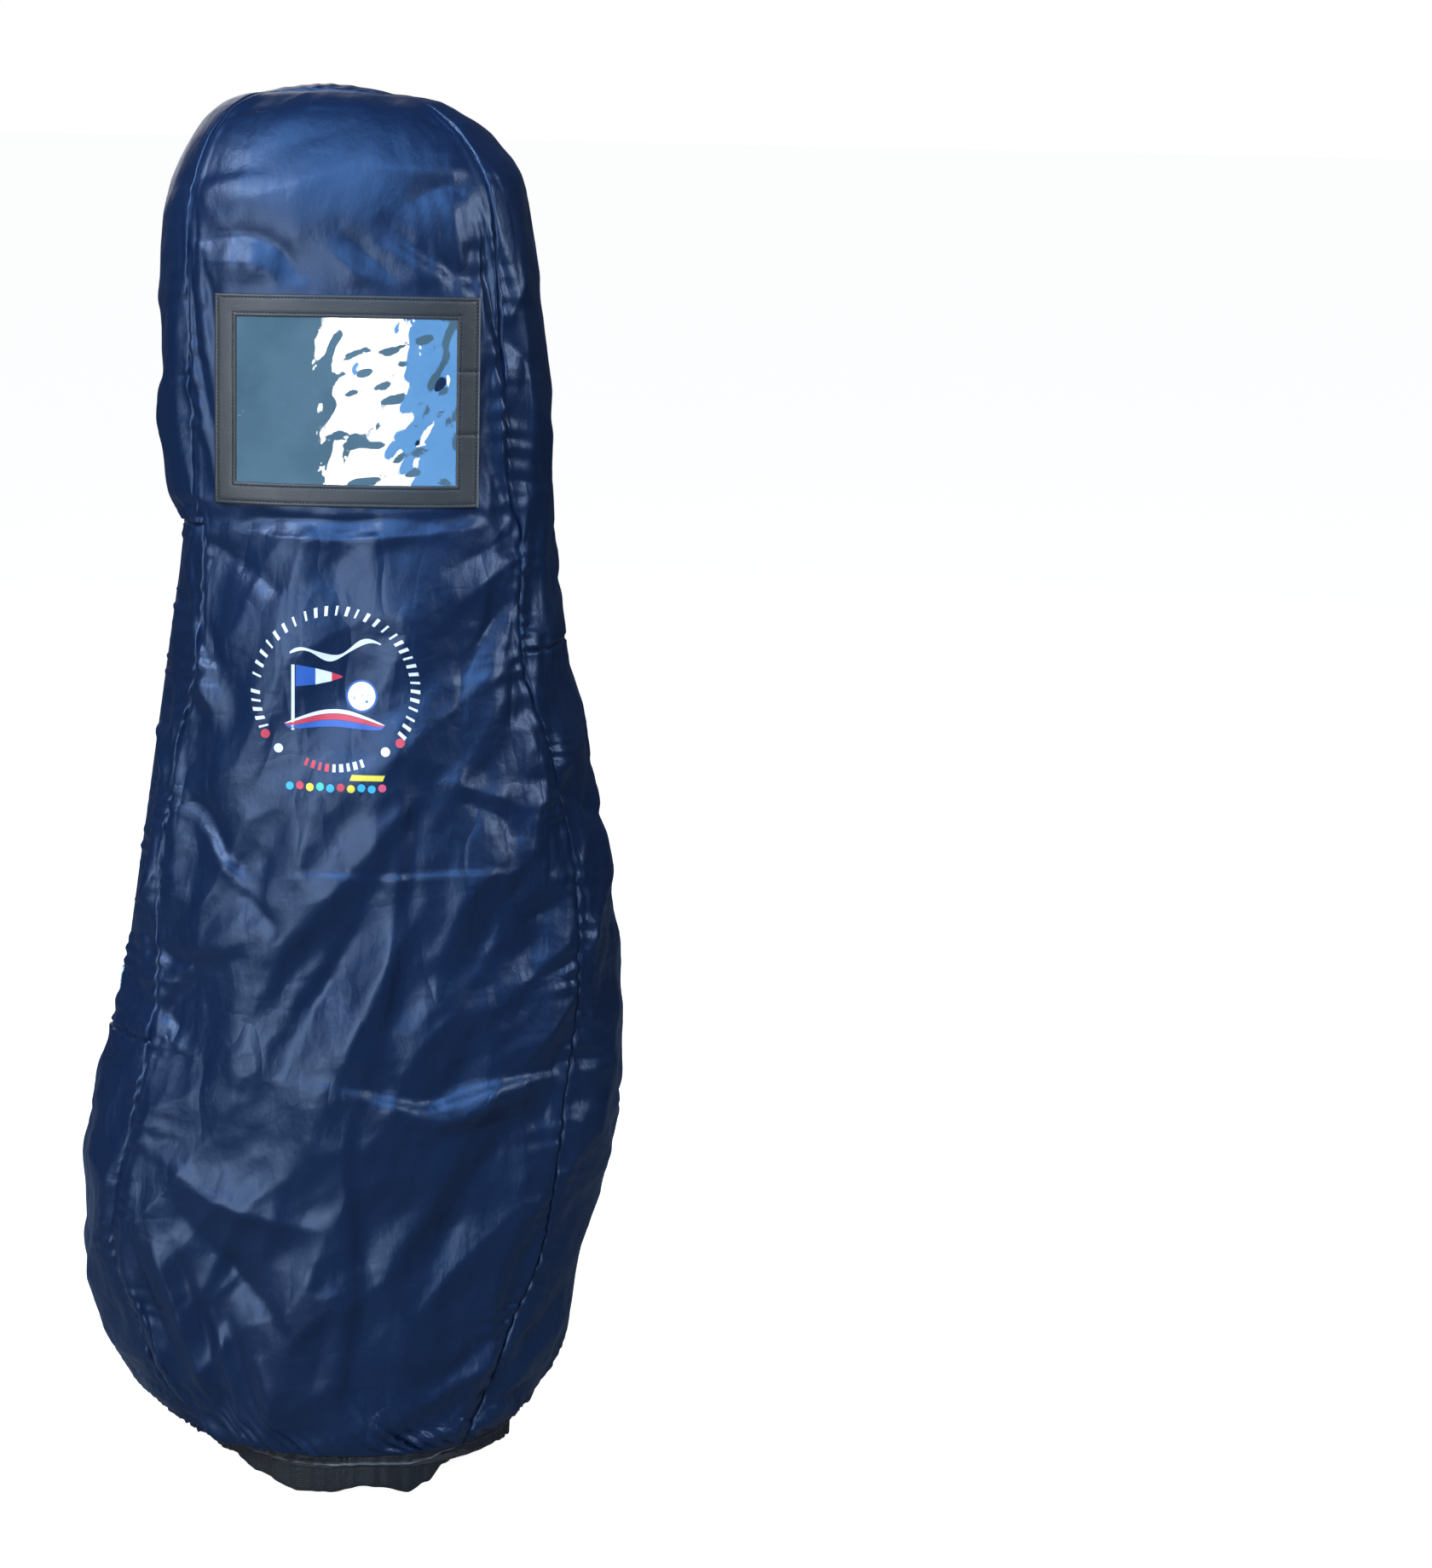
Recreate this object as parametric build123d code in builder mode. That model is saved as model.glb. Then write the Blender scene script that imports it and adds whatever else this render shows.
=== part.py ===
from build123d import *
import os
from collections import namedtuple
from math import cos, copysign, pi, sin

# Golf travel case: a nylon cover that is pulled down over a golf bag and its clubs.
# The frame's origin is the centre of the hem opening, +Z is up, -Y is the front panel
# with the window, and -X is the gusset with the zip. All lengths are in millimetres.

# ---------------------------------------------------------------- driving dimensions

# The cover's outside, as it is filled by the bag. Each station is one level cut:
# its height, its four sides, how square its corners are (2 is an ellipse) and half
# the width of the front and back panels, measured from the middle of the cut.
Station = namedtuple("Station", "height left right front back square panel")
stations = [
    Station(35, -133, 133, -133, 133, 2.0, 95),
    Station(46, -165, 138, -138, 136, 2.1, 112),
    Station(73, -194, 151, -141, 138, 2.1, 133),
    Station(125, -227, 175, -142, 140, 2.2, 155),
    Station(230, -245, 206, -140, 138, 2.3, 186),
    Station(335, -228, 223, -137, 135, 2.3, 184),
    Station(385, -210.6, 222, -134, 132, 2.3, 183),
    Station(517, -192.7, 211, -128, 126, 2.35, 180),
    Station(623, -178.3, 188, -122, 120, 2.35, 163),
    Station(727, -164.2, 167, -114, 112, 2.35, 138),
    Station(825, -150.9, 159, -102, 102, 2.35, 134),
    Station(850, -168, 158, -99, 99, 2.4, 134),
    Station(1016, -178, 151, -94, 96, 2.4, 134),
    Station(1094, -172, 144, -88, 94, 2.4, 134),
    Station(1147, -152, 117, -72, 88, 2.4, 126),
    Station(1175, -131, 84, -50, 78, 2.3, 100),
    Station(1196, -60, 20, -15, 50, 2.2, 97),
]
fabric_thick = 1.6
points_round = 24  # points that carry one cut's curve
crown_height = 1135  # above this the wall closes over, so an inset also lowers it

# Seams between the fabric pieces
left_seam_top = 825  # cross seam above the zip
left_seam_bottom = 385  # cross seam below the zip
right_seam = 725  # the only cross seam on the right
top_gusset_front = 20  # the strip over the top runs between these two depths
top_gusset_back = 60
reach = 300  # further out than any wall

# Hem
hem_radius = 130  # inside, as stretched over the bag's base
hem_height = 35
hem_skin = 0.8
hem_gap = 1.4  # inside the folded band, where the elastic lies
elastic_margin = 0.1

# Window and card pocket on the front panel
window_x = -9
window_z = 934
window_width = 219
window_height = 174
window_border = 18.5
window_corner = 3
frame_seam = 8  # the border is sewn down this far in from its edge, on three sides
sheet_overlap = 8
pocket_depth = 0.9  # room for a card
sheet_thick = 0.4
frame_thick = 1.1
patch_width = 11
patch_height = 52

# Print below the window
print_x = -15
print_z = 695
print_radius = 70
print_thick = 0.15
print_row_z = 620
print_row_width = 88
print_row_height = 22

# Zip, in the gusset on -X: its lower and upper ends
zip_bottom = Vector(-209, 0, 397)
zip_top = Vector(-152, 0, 817)
zip_run = (zip_top - zip_bottom).length
zip_plane = Plane(
    origin=zip_bottom,
    x_dir=(0, -1, 0),
    z_dir=(zip_bottom.Z - zip_top.Z, 0, zip_top.X - zip_bottom.X),
)
zip_overrun = 8  # the tapes run on past both ends
channel_half = 8  # half the gap between the two gusset edges
slot_half = 0.8  # half the slot between the coils, where the sliders' posts run
tape_edge = 13
tape_low = -2.9
tape_thick = 0.6
coil_edge = 3
coil_high = -0.3
flap_inner = 1.6
flap_outer = 12
flap_foot = 2
flap_low = 1.8
flap_thick = 0.8
flap_base = 0.05
stop_length = 3
stop_width = 7.6
stop_top = 0.6

# Sliders and pulls
slider_length = 12
slider_width = 9.4
slider_nose = 2.5  # corner radius of both plates
top_plate_low = 0.1
top_plate_thick = 1.2
bottom_plate_top = -3.3
bottom_plate_thick = 1.0
flange_inner = 3.7
flange_low = -1.5
post_half = 0.5
post_length = 3
bail_half = 1.2
bail_length = 4
bail_top = 5.2
pivot_height = 4
pin_radius = 0.75
pin_clearance = 0.05
pivot_below_nose = 1.5  # from the slider's upper end down to the pull's pivot
lower_slider_start = 7  # the slider's lower end, above the zip's lower end
slider_gap = 4
pull_width = 14
pull_length = 14
pull_thick = 1.8
pull_round = 4.5
pull_above_pivot = 1
notch_half = 1.5
notch_depth = 3.6

os.makedirs("parts", exist_ok=True)


def finish(builder, name):
    """Labels one sub-part and writes it."""
    builder.part.label = name
    export_step(builder.part, f"parts/{name}.step")


# ---------------------------------------------------------------- the cover's outside


def cut_points(station, outset):
    """The points of one level cut, a superellipse moved out by outset."""
    middle_x = (station.left + station.right) / 2
    middle_y = (station.front + station.back) / 2
    half_x = (station.right - station.left) / 2 + outset
    half_y = (station.back - station.front) / 2 + outset
    power = 2 / station.square
    points = []
    for step in range(points_round):
        turn = 2 * pi * step / points_round
        across = copysign(abs(cos(turn)) ** power, cos(turn))
        along = copysign(abs(sin(turn)) ** power, sin(turn))
        points.append((middle_x + half_x * across, middle_y + half_y * along))
    return points


def outside(outset):
    """The solid inside the cover's outer surface, when that surface is moved by outset."""
    with BuildPart() as body:
        for station in stations:
            rise = outset if station.height > crown_height else 0
            with BuildSketch(Plane.XY.offset(station.height + rise)):
                with BuildLine():
                    Spline(*cut_points(station, outset), periodic=True)
                make_face()
        loft(ruled=True)
    return body.part


def layer(low, high):
    """A skin between two distances from the cover's outer surface."""
    with BuildPart() as skin:
        add(outside(high))
        add(outside(low), mode=Mode.SUBTRACT)
    return skin.part


def panel_edge(side):
    """One edge of the front and back panels, from the hem to above the crown."""
    line = []
    for station in stations:
        middle = (station.left + station.right) / 2
        line.append((middle + side * station.panel, station.height))
    line[0] = (line[0][0], 0)
    line.append((line[-1][0], line[-1][1] + reach))
    return line


fabric = layer(-fabric_thick, 0)


# ---------------------------------------------------------------- fabric pieces


def panel(profile):
    """The fabric inside the panels' outline, kept where a side-on profile says."""
    with BuildPart() as sheet:
        add(fabric)
        with BuildSketch(Plane.XZ.offset(reach)) as outline:
            with BuildLine():
                Polyline(*panel_edge(1), *reversed(panel_edge(-1)), close=True)
            make_face()
        extrude(outline.sketch, amount=-2 * reach, mode=Mode.INTERSECT)
        with BuildSketch(Plane.YZ.offset(-reach)) as side_on:
            with BuildLine():
                Polyline(*profile, close=True)
            make_face()
        extrude(side_on.sketch, amount=2 * reach, mode=Mode.INTERSECT)
    return sheet


def gusset(side, low, high, front=-reach, back=reach):
    """A length of the side wall outside the panels' edge, between two heights."""
    edge = panel_edge(side)
    with BuildPart() as wall:
        add(fabric)
        with BuildSketch(Plane.XZ.offset(reach)) as beyond:
            with BuildLine():
                Polyline(*edge, (side * reach, edge[-1][1]), (side * reach, 0), close=True)
            make_face()
        extrude(beyond.sketch, amount=-2 * reach, mode=Mode.INTERSECT)
        with BuildSketch(Plane.XY.offset(low)) as between:
            with Locations((0, (front + back) / 2)):
                Rectangle(4 * reach, back - front)
        extrude(between.sketch, amount=high - low, mode=Mode.INTERSECT)
    return wall


crown_top = stations[-1].height + reach
front_profile = [
    (-reach, 0),
    (0, 0),
    (0, crown_height),
    (top_gusset_front, crown_height),
    (top_gusset_front, crown_top),
    (-reach, crown_top),
]
back_profile = [
    (reach, 0),
    (0, 0),
    (0, crown_height),
    (top_gusset_back, crown_height),
    (top_gusset_back, crown_top),
    (reach, crown_top),
]
top_profile = [
    (top_gusset_front, crown_height),
    (top_gusset_back, crown_height),
    (top_gusset_back, crown_top),
    (top_gusset_front, crown_top),
]
finish(panel(front_profile), "front_panel")
finish(panel(back_profile), "back_panel")
finish(panel(top_profile), "top_gusset")

finish(gusset(-1, left_seam_top, crown_top), "left_gusset_upper")
finish(gusset(-1, 0, left_seam_bottom), "left_gusset_lower")
finish(
    gusset(-1, left_seam_bottom, left_seam_top, back=-channel_half),
    "left_gusset_zip_front",
)
finish(
    gusset(-1, left_seam_bottom, left_seam_top, front=channel_half),
    "left_gusset_zip_back",
)
finish(gusset(1, right_seam, crown_top), "right_gusset_upper")
finish(gusset(1, 0, right_seam), "right_gusset_lower")

# ---------------------------------------------------------------- hem

with BuildPart() as hem_band:
    with BuildSketch():
        Circle(hem_radius + 2 * hem_skin + hem_gap)
        Circle(hem_radius, mode=Mode.SUBTRACT)
    extrude(amount=hem_height)
    with BuildSketch(Plane.XY.offset(hem_skin)):
        Circle(hem_radius + hem_skin + hem_gap)
        Circle(hem_radius + hem_skin, mode=Mode.SUBTRACT)
    extrude(amount=hem_height - 2 * hem_skin, mode=Mode.SUBTRACT)
finish(hem_band, "hem_band")

with BuildPart() as hem_elastic:
    with BuildSketch(Plane.XY.offset(hem_skin + elastic_margin)):
        Circle(hem_radius + hem_skin + hem_gap - elastic_margin)
        Circle(hem_radius + hem_skin + elastic_margin, mode=Mode.SUBTRACT)
    extrude(amount=hem_height - 2 * hem_skin - 2 * elastic_margin)
finish(hem_elastic, "hem_elastic")

# ---------------------------------------------------------------- window and pocket


def patch_on_front(low, high, centre, width, height, corner=0):
    """A rectangle of a skin on the front panel."""
    with BuildPart() as patch:
        add(layer(low, high))
        with BuildSketch(Plane.XZ) as outline:
            with Locations(centre):
                if corner:
                    RectangleRounded(width, height, corner)
                else:
                    Rectangle(width, height)
        extrude(outline.sketch, amount=reach, mode=Mode.INTERSECT)
    return patch


window_centre = (window_x, window_z)
clear_width = window_width - 2 * window_border
clear_height = window_height - 2 * window_border
sheet_high = pocket_depth + sheet_thick
pocket_centre = (window_x + frame_seam / 2, window_z)
patch_centre = (window_x + (window_width - patch_width) / 2 - frame_seam / 4, window_z)

border = patch_on_front(
    0, sheet_high + frame_thick, window_centre, window_width, window_height, window_corner
)
pocket = patch_on_front(
    0,
    sheet_high,
    pocket_centre,
    window_width - frame_seam,
    window_height - 2 * frame_seam,
)
with BuildPart() as window_frame:
    add(border.part)
    add(pocket.part, mode=Mode.SUBTRACT)
    with BuildSketch(Plane.XZ) as clear_opening:
        with Locations(window_centre):
            Rectangle(clear_width, clear_height)
    extrude(clear_opening.sketch, amount=reach, mode=Mode.SUBTRACT)
finish(window_frame, "window_frame")

window_sheet = patch_on_front(
    pocket_depth,
    sheet_high,
    window_centre,
    clear_width + sheet_overlap,
    clear_height + 2 * sheet_overlap,
)
finish(window_sheet, "window_sheet")

patch_split = sheet_high / 2
pocket_loop_patch = patch_on_front(0, patch_split, patch_centre, patch_width, patch_height)
finish(pocket_loop_patch, "pocket_loop_patch")
pocket_hook_patch = patch_on_front(
    patch_split, sheet_high, patch_centre, patch_width, patch_height
)
finish(pocket_hook_patch, "pocket_hook_patch")

with BuildPart() as printed_emblem:
    add(layer(0, print_thick))
    with BuildSketch(Plane.XZ) as emblem_outline:
        with Locations((print_x, print_z)):
            Circle(print_radius)
        with Locations((print_x, print_row_z)):
            Rectangle(print_row_width, print_row_height)
    extrude(emblem_outline.sketch, amount=reach, mode=Mode.INTERSECT)
finish(printed_emblem, "printed_emblem")

# ---------------------------------------------------------------- zip


def zip_strip(inner, outer, side, low, thick, overrun, foot=0, foot_low=0):
    """A strip along the zip, on the front (1) or back (-1) of its slot."""
    with BuildPart() as strip:
        with BuildSketch(zip_plane.offset(low)):
            with Locations((side * (inner + outer) / 2, zip_run / 2)):
                Rectangle(outer - inner, zip_run + 2 * overrun)
        extrude(amount=thick)
        if foot:
            with BuildSketch(zip_plane.offset(foot_low)):
                with Locations((side * (outer - foot / 2), zip_run / 2)):
                    Rectangle(foot, zip_run + 2 * overrun)
            extrude(amount=low - foot_low)
    return strip


coil_low = tape_low + tape_thick
coil_thick = coil_high - coil_low
for side, place in ((1, "front"), (-1, "back")):
    zip_tape = zip_strip(slot_half, tape_edge, side, tape_low, tape_thick, zip_overrun)
    finish(zip_tape, f"zip_tape_{place}")
    zip_coil = zip_strip(slot_half, coil_edge, side, coil_low, coil_thick, 0)
    finish(zip_coil, f"zip_coil_{place}")
    zip_flap = zip_strip(
        flap_inner, flap_outer, side, flap_low, flap_thick, zip_overrun, flap_foot, flap_base
    )
    finish(zip_flap, f"zip_flap_{place}")


def zip_stop(start):
    """A clip across both coils that ends the sliders' travel."""
    with BuildPart() as stop:
        with BuildSketch(zip_plane.offset(coil_low)):
            with Locations((0, start + stop_length / 2)):
                Rectangle(stop_width, stop_length)
        extrude(amount=stop_top - coil_low)
    return stop


finish(zip_stop(-stop_length), "zip_bottom_stop")
finish(zip_stop(zip_run), "zip_top_stop")


# ---------------------------------------------------------------- sliders and pulls


def slider(start, post_at):
    """A slider whose lower end is at start and whose post is centred at post_at."""
    middle = start + slider_length / 2
    pivot = start + slider_length - pivot_below_nose
    with BuildPart() as body:
        with BuildSketch(zip_plane.offset(top_plate_low)):
            with Locations((0, middle)):
                RectangleRounded(slider_width, slider_length, slider_nose)
        extrude(amount=top_plate_thick)
        with BuildSketch(zip_plane.offset(bottom_plate_top)):
            with Locations((0, middle)):
                RectangleRounded(slider_width, slider_length, slider_nose)
        extrude(amount=-bottom_plate_thick)
        with BuildSketch(zip_plane.offset(bottom_plate_top)):
            with Locations((0, post_at)):
                Rectangle(2 * post_half, post_length)
        extrude(amount=top_plate_low - bottom_plate_top)
        flange_width = slider_width / 2 - flange_inner
        with BuildSketch(zip_plane.offset(flange_low)):
            with Locations(
                (flange_inner + flange_width / 2, middle),
                (-flange_inner - flange_width / 2, middle),
            ):
                Rectangle(flange_width, slider_length - 2 * slider_nose)
        extrude(amount=top_plate_low - flange_low)
        bail_low = top_plate_low + top_plate_thick
        bail_middle = pivot - bail_length / 2 + pivot_below_nose
        with BuildSketch(zip_plane.offset(bail_low)):
            with Locations((0, bail_middle)):
                Rectangle(2 * bail_half, bail_length)
        extrude(amount=bail_top - bail_low)
        tips = body.faces().sort_by(Axis(zip_plane.origin, zip_plane.z_dir))[-1]
        fillet(tips.edges().filter_by(Axis.Y), radius=pin_radius)
        with Locations(pull_plane(pivot)):
            Hole(pin_radius + pin_clearance)
    return body


def pull_plane(pivot):
    """The plane across a pull's pin, with its origin on the pin's axis."""
    return Plane(
        origin=zip_plane.from_local_coords((0, pivot, pivot_height)),
        x_dir=zip_plane.z_dir,
        z_dir=(0, 1, 0),
    )


def pull(start):
    """The pull of the slider that starts at start, as it hangs from its pin."""
    pivot = start + slider_length - pivot_below_nose
    high = pivot + pull_above_pivot
    middle = high - pull_length / 2
    with BuildPart() as tab:
        with BuildSketch(zip_plane.offset(pivot_height - pull_thick / 2)) as outline:
            with Locations((0, middle)):
                Rectangle(pull_width, pull_length)
            fillet(outline.vertices(), radius=pull_round)
            with Locations((0, high - notch_depth / 2)):
                Rectangle(2 * notch_half, notch_depth, mode=Mode.SUBTRACT)
        extrude(amount=pull_thick)
        with BuildSketch(pull_plane(pivot).offset(-notch_half)):
            Circle(pin_radius)
        extrude(amount=2 * notch_half)
    return tab


upper_slider_start = lower_slider_start + slider_length + slider_gap
finish(
    slider(lower_slider_start, lower_slider_start + slider_length - slider_nose),
    "zip_slider_lower",
)
finish(slider(upper_slider_start, upper_slider_start + slider_nose), "zip_slider_upper")
finish(pull(lower_slider_start), "zip_pull_lower")
finish(pull(upper_slider_start), "zip_pull_upper")
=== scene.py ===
import math
from collections import namedtuple

import bmesh
import bpy
import numpy as np
from mathutils import Euler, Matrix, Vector, noise
from mathutils.bvhtree import BVHTree


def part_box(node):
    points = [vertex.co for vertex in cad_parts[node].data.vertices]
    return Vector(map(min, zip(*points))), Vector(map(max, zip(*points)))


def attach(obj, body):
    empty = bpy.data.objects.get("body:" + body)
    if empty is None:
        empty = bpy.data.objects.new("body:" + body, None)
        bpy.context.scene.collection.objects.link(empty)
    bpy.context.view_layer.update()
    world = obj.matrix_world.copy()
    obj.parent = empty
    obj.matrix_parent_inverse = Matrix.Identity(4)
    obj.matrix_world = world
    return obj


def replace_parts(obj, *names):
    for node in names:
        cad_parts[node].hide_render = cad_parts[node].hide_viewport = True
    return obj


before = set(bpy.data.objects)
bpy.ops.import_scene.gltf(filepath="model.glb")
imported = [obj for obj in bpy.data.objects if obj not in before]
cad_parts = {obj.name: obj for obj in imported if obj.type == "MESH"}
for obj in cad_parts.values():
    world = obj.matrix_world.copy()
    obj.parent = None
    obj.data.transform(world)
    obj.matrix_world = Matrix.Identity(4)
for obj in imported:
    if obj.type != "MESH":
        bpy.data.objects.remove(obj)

for name in ("Cube", "Light", "Camera"):  # Blender's own start-up objects
    if name in bpy.data.objects:
        bpy.data.objects.remove(bpy.data.objects[name])
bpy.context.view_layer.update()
scene = bpy.context.scene

# ---------------------------------------------------------------- settings

CLOTH_THICK = 0.0005
CRUMPLE_SEED = 5
CRUMPLE_WIDE = 0.0055
CRUMPLE_SLOPE = 0.22  # how steep the facets of the creased cloth are
FOLD_LIMIT = 0.014
FOLD_RISE = 0.010
FOLD_STRENGTH = 1.25
WORLD_LIGHT = 0.055
FLOOR_GLOW = 0.94
CAMERA_LENS = 100.0
CAMERA_AZIMUTH = 5.0
CAMERA_RISE = 10.0
CAMERA_DISTANCE = 3.77
CAMERA_AIM = (-0.010, 0.0, 0.600)
CAMERA_PAN = 4.84
CAMERA_ROLL = 1.1
# Each light: place, aim, size, power, colour, spread in degrees
LIGHTS = {
    "key": ((-1.6, -1.7, 2.6), (0, 0, 0.65), (0.7, 0.6), 10, (0.98, 0.98, 1.0), 85),
    "sky": ((-0.3, -1.7, 2.8), (0, 0, 1.20), (2.4, 2.6), 46, (0.30, 0.58, 1.0), 110),
    "fill": ((2.2, -1.4, 1.9), (0, 0, 0.9), (0.4, 1.0), 10, (0.95, 0.97, 1.0), 100),
    "front_left": ((-1.2, -2.7, 0.9), (0, 0, 0.60), (1.6, 1.2), 13, (0.90, 0.95, 1.0), 100),
    "low_left": ((-1.9, -1.5, 0.5), (0, 0, 0.3), (0.5, 0.5), 1.5, (0.85, 0.92, 1.0), 100),
    "window_glint": ((0.02, -3.0, 0.45), (0.02, 0, 0.94), (0.95, 1.5), 130, (1.0, 0.97, 0.9), 180),
    "window_sky": ((0.95, -2.8, 0.60), (0.02, 0, 0.94), (1.20, 1.5), 44, (0.12, 0.40, 1.0), 180),
    "rim": ((-0.9, 2.4, 1.8), (0, 0, 0.6), (1.4, 1.4), 9, (1.0, 1.0, 1.0), 180),
}

# ---------------------------------------------------------------- the cover's shape
# The same level cuts as the CAD shell, in metres: height, the four sides, squareness
# (2 is an ellipse), and half the width of the front and back panels.

Station = namedtuple("Station", "height left right front back square panel")
STATIONS = [
    Station(0.035, -0.132, 0.132, -0.132, 0.132, 2.0, 0.095),
    Station(0.041, -0.157, 0.137, -0.137, 0.135, 2.05, 0.108),
    Station(0.050, -0.170, 0.143, -0.139, 0.136, 2.1, 0.115),
    Station(0.073, -0.194, 0.153, -0.141, 0.138, 2.1, 0.133),
    Station(0.125, -0.226, 0.176, -0.142, 0.140, 2.2, 0.155),
    Station(0.230, -0.244, 0.206, -0.140, 0.138, 2.3, 0.186),
    Station(0.335, -0.228, 0.222, -0.137, 0.135, 2.3, 0.184),
    Station(0.385, -0.2106, 0.222, -0.134, 0.132, 2.3, 0.183),
    Station(0.517, -0.1927, 0.211, -0.128, 0.126, 2.35, 0.180),
    Station(0.623, -0.1783, 0.189, -0.122, 0.120, 2.35, 0.163),
    Station(0.727, -0.1642, 0.168, -0.114, 0.112, 2.35, 0.138),
    Station(0.825, -0.1509, 0.159, -0.102, 0.102, 2.35, 0.134),
    Station(0.852, -0.166, 0.158, -0.099, 0.099, 2.4, 0.134),
    Station(0.930, -0.175, 0.156, -0.096, 0.097, 2.4, 0.134),
    Station(1.016, -0.178, 0.151, -0.094, 0.096, 2.4, 0.134),
]
CROWN = Station(1.187, -0.093, 0.023, 0.002, 0.042, 3.0, 0.055)
CROWN_RISE = 0.006
CROWN_FULLNESS = 2.2
FRONT_CELLS = 46
GUSSET_CELLS = 25  # odd, so that the middle one is the zip's slit
COLUMNS = 2 * (FRONT_CELLS + GUSSET_CELLS)
CROWN_ROWS = 22
ROW = 0.0085
SEAM_HEIGHTS = {"left_top": 0.825, "left_bottom": 0.385, "right": 0.725}
ZIP_LOW = np.array([-0.209, 0.0, 0.397])
ZIP_HIGH = np.array([-0.152, 0.0, 0.817])
ZIP_RUN = float(np.linalg.norm(ZIP_HIGH - ZIP_LOW))
ZIP_UP = (ZIP_HIGH - ZIP_LOW) / ZIP_RUN
ZIP_OUT = np.array([-ZIP_UP[2], 0.0, ZIP_UP[0]])
FLAP_HEIGHT = 0.0022
FLAP_LIFT = 0.0013  # how far the flaps bulge at the zip's top, over the slider when it is up
SLIT_HALF = 0.0017

# Column numbers of the four panel seams, counted round from the front left one
SEAM_COLUMNS = {
    "front_left": 0,
    "front_right": FRONT_CELLS,
    "back_right": FRONT_CELLS + GUSSET_CELLS,
    "back_left": 2 * FRONT_CELLS + GUSSET_CELLS,
}


def smooth_station(height):
    """The level cut at a height, from monotone cubic curves through the stations."""
    z = np.array([s.height for s in STATIONS])
    table = np.array([s[1:] for s in STATIONS])
    return Station(height, *pchip(z, table, height))


def pchip(x, y, at):
    """Monotone cubic interpolation of the rows of y."""
    step = np.diff(x)[:, None]
    slope = np.diff(y, axis=0) / step
    inner = np.zeros_like(slope[1:])
    same = slope[:-1] * slope[1:] > 0
    mean = 2 * slope[:-1] * slope[1:] / np.where(same, slope[:-1] + slope[1:], 1)
    inner[same] = mean[same]
    tangent = np.vstack([slope[:1], inner, slope[-1:]])
    i = int(np.clip(np.searchsorted(x, at) - 1, 0, len(x) - 2))
    h = x[i + 1] - x[i]
    t = (at - x[i]) / h
    return (
        (2 * t**3 - 3 * t**2 + 1) * y[i]
        + (t**3 - 2 * t**2 + t) * h * tangent[i]
        + (-2 * t**3 + 3 * t**2) * y[i + 1]
        + (t**3 - t**2) * h * tangent[i + 1]
    )


def clustered(cells):
    """Even steps from 0 to 1, drawn closer together at both ends."""
    t = np.linspace(0, 1, cells + 1)
    return t - 0.6 * np.sin(2 * np.pi * t) / (2 * np.pi)


def ring(station, inset=0.0):
    """One row of the cover's points, as (COLUMNS, 2), with the seams on its columns."""
    mid = np.array([station.left + station.right, station.front + station.back]) / 2
    half = np.array([station.right - station.left, station.back - station.front]) / 2
    half = half - inset
    panel = min(station.panel, half[0] * 0.97)
    turn = np.linspace(0, 2 * np.pi, 1441)
    power = 2 / station.square
    # counted from the left side, over the front, to the right and back behind
    x = -np.cos(turn)
    y = -np.sin(turn)
    dense = np.stack(
        [
            mid[0] + half[0] * np.sign(x) * np.abs(x) ** power,
            mid[1] + half[1] * np.sign(y) * np.abs(y) ** power,
        ],
        axis=1,
    )
    length = np.concatenate([[0], np.cumsum(np.linalg.norm(np.diff(dense, axis=0), axis=1))])
    total = length[-1]
    quarter = len(turn) // 4
    seam_at = np.interp(mid[0] - panel, dense[:quarter, 0], length[:quarter])
    half_way = length[2 * quarter]
    marks = [seam_at, half_way - seam_at, half_way + seam_at, total - seam_at]
    spans = [
        (marks[0], marks[1], FRONT_CELLS),
        (marks[1], marks[2], GUSSET_CELLS),
        (marks[2], marks[3], FRONT_CELLS),
        (marks[3], marks[0] + total, GUSSET_CELLS),
    ]
    at = np.concatenate([a + (b - a) * clustered(n)[:-1] for a, b, n in spans])
    at = at % total
    return np.stack([np.interp(at, length, dense[:, k]) for k in (0, 1)], axis=1)


def row_heights():
    """Heights of the rows below the crown, closer near the cross seams and the hem."""
    heights = [STATIONS[0].height]
    near = [STATIONS[0].height, *SEAM_HEIGHTS.values()]
    while heights[-1] < STATIONS[-1].height:
        gap = min(abs(heights[-1] - n) for n in near)
        heights.append(heights[-1] + ROW * (0.45 + 0.55 * min(1, gap / 0.03)))
    stretch = (STATIONS[-1].height - heights[0]) / (heights[-1] - heights[0])
    return [heights[0] + (h - heights[0]) * stretch for h in heights]


def body_rows(inset=0.0):
    """All the rows, from the hem to the crown's rim, as (rows, COLUMNS, 3)."""
    rows = []
    for height in row_heights():
        flat = ring(smooth_station(height), inset)
        rows.append(np.column_stack([flat, np.full(COLUMNS, height)]))
    start = rows[-1]
    rim = ring(CROWN, inset)
    rim_z = CROWN.height - inset - 0.25 * np.abs(rim[:, 0] - rim[:, 0].mean()) ** 1.5
    for step in range(1, CROWN_ROWS + 1):
        turn = math.pi / 2 * step / CROWN_ROWS
        inward = 1 - max(math.cos(turn), 0) ** (2 / CROWN_FULLNESS)
        upward = math.sin(turn) ** (2 / CROWN_FULLNESS)
        flat = start[:, :2] + (rim - start[:, :2]) * inward
        z = start[:, 2] + (rim_z - start[:, 2]) * upward
        rows.append(np.column_stack([flat, z]))
    return np.array(rows)


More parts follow.
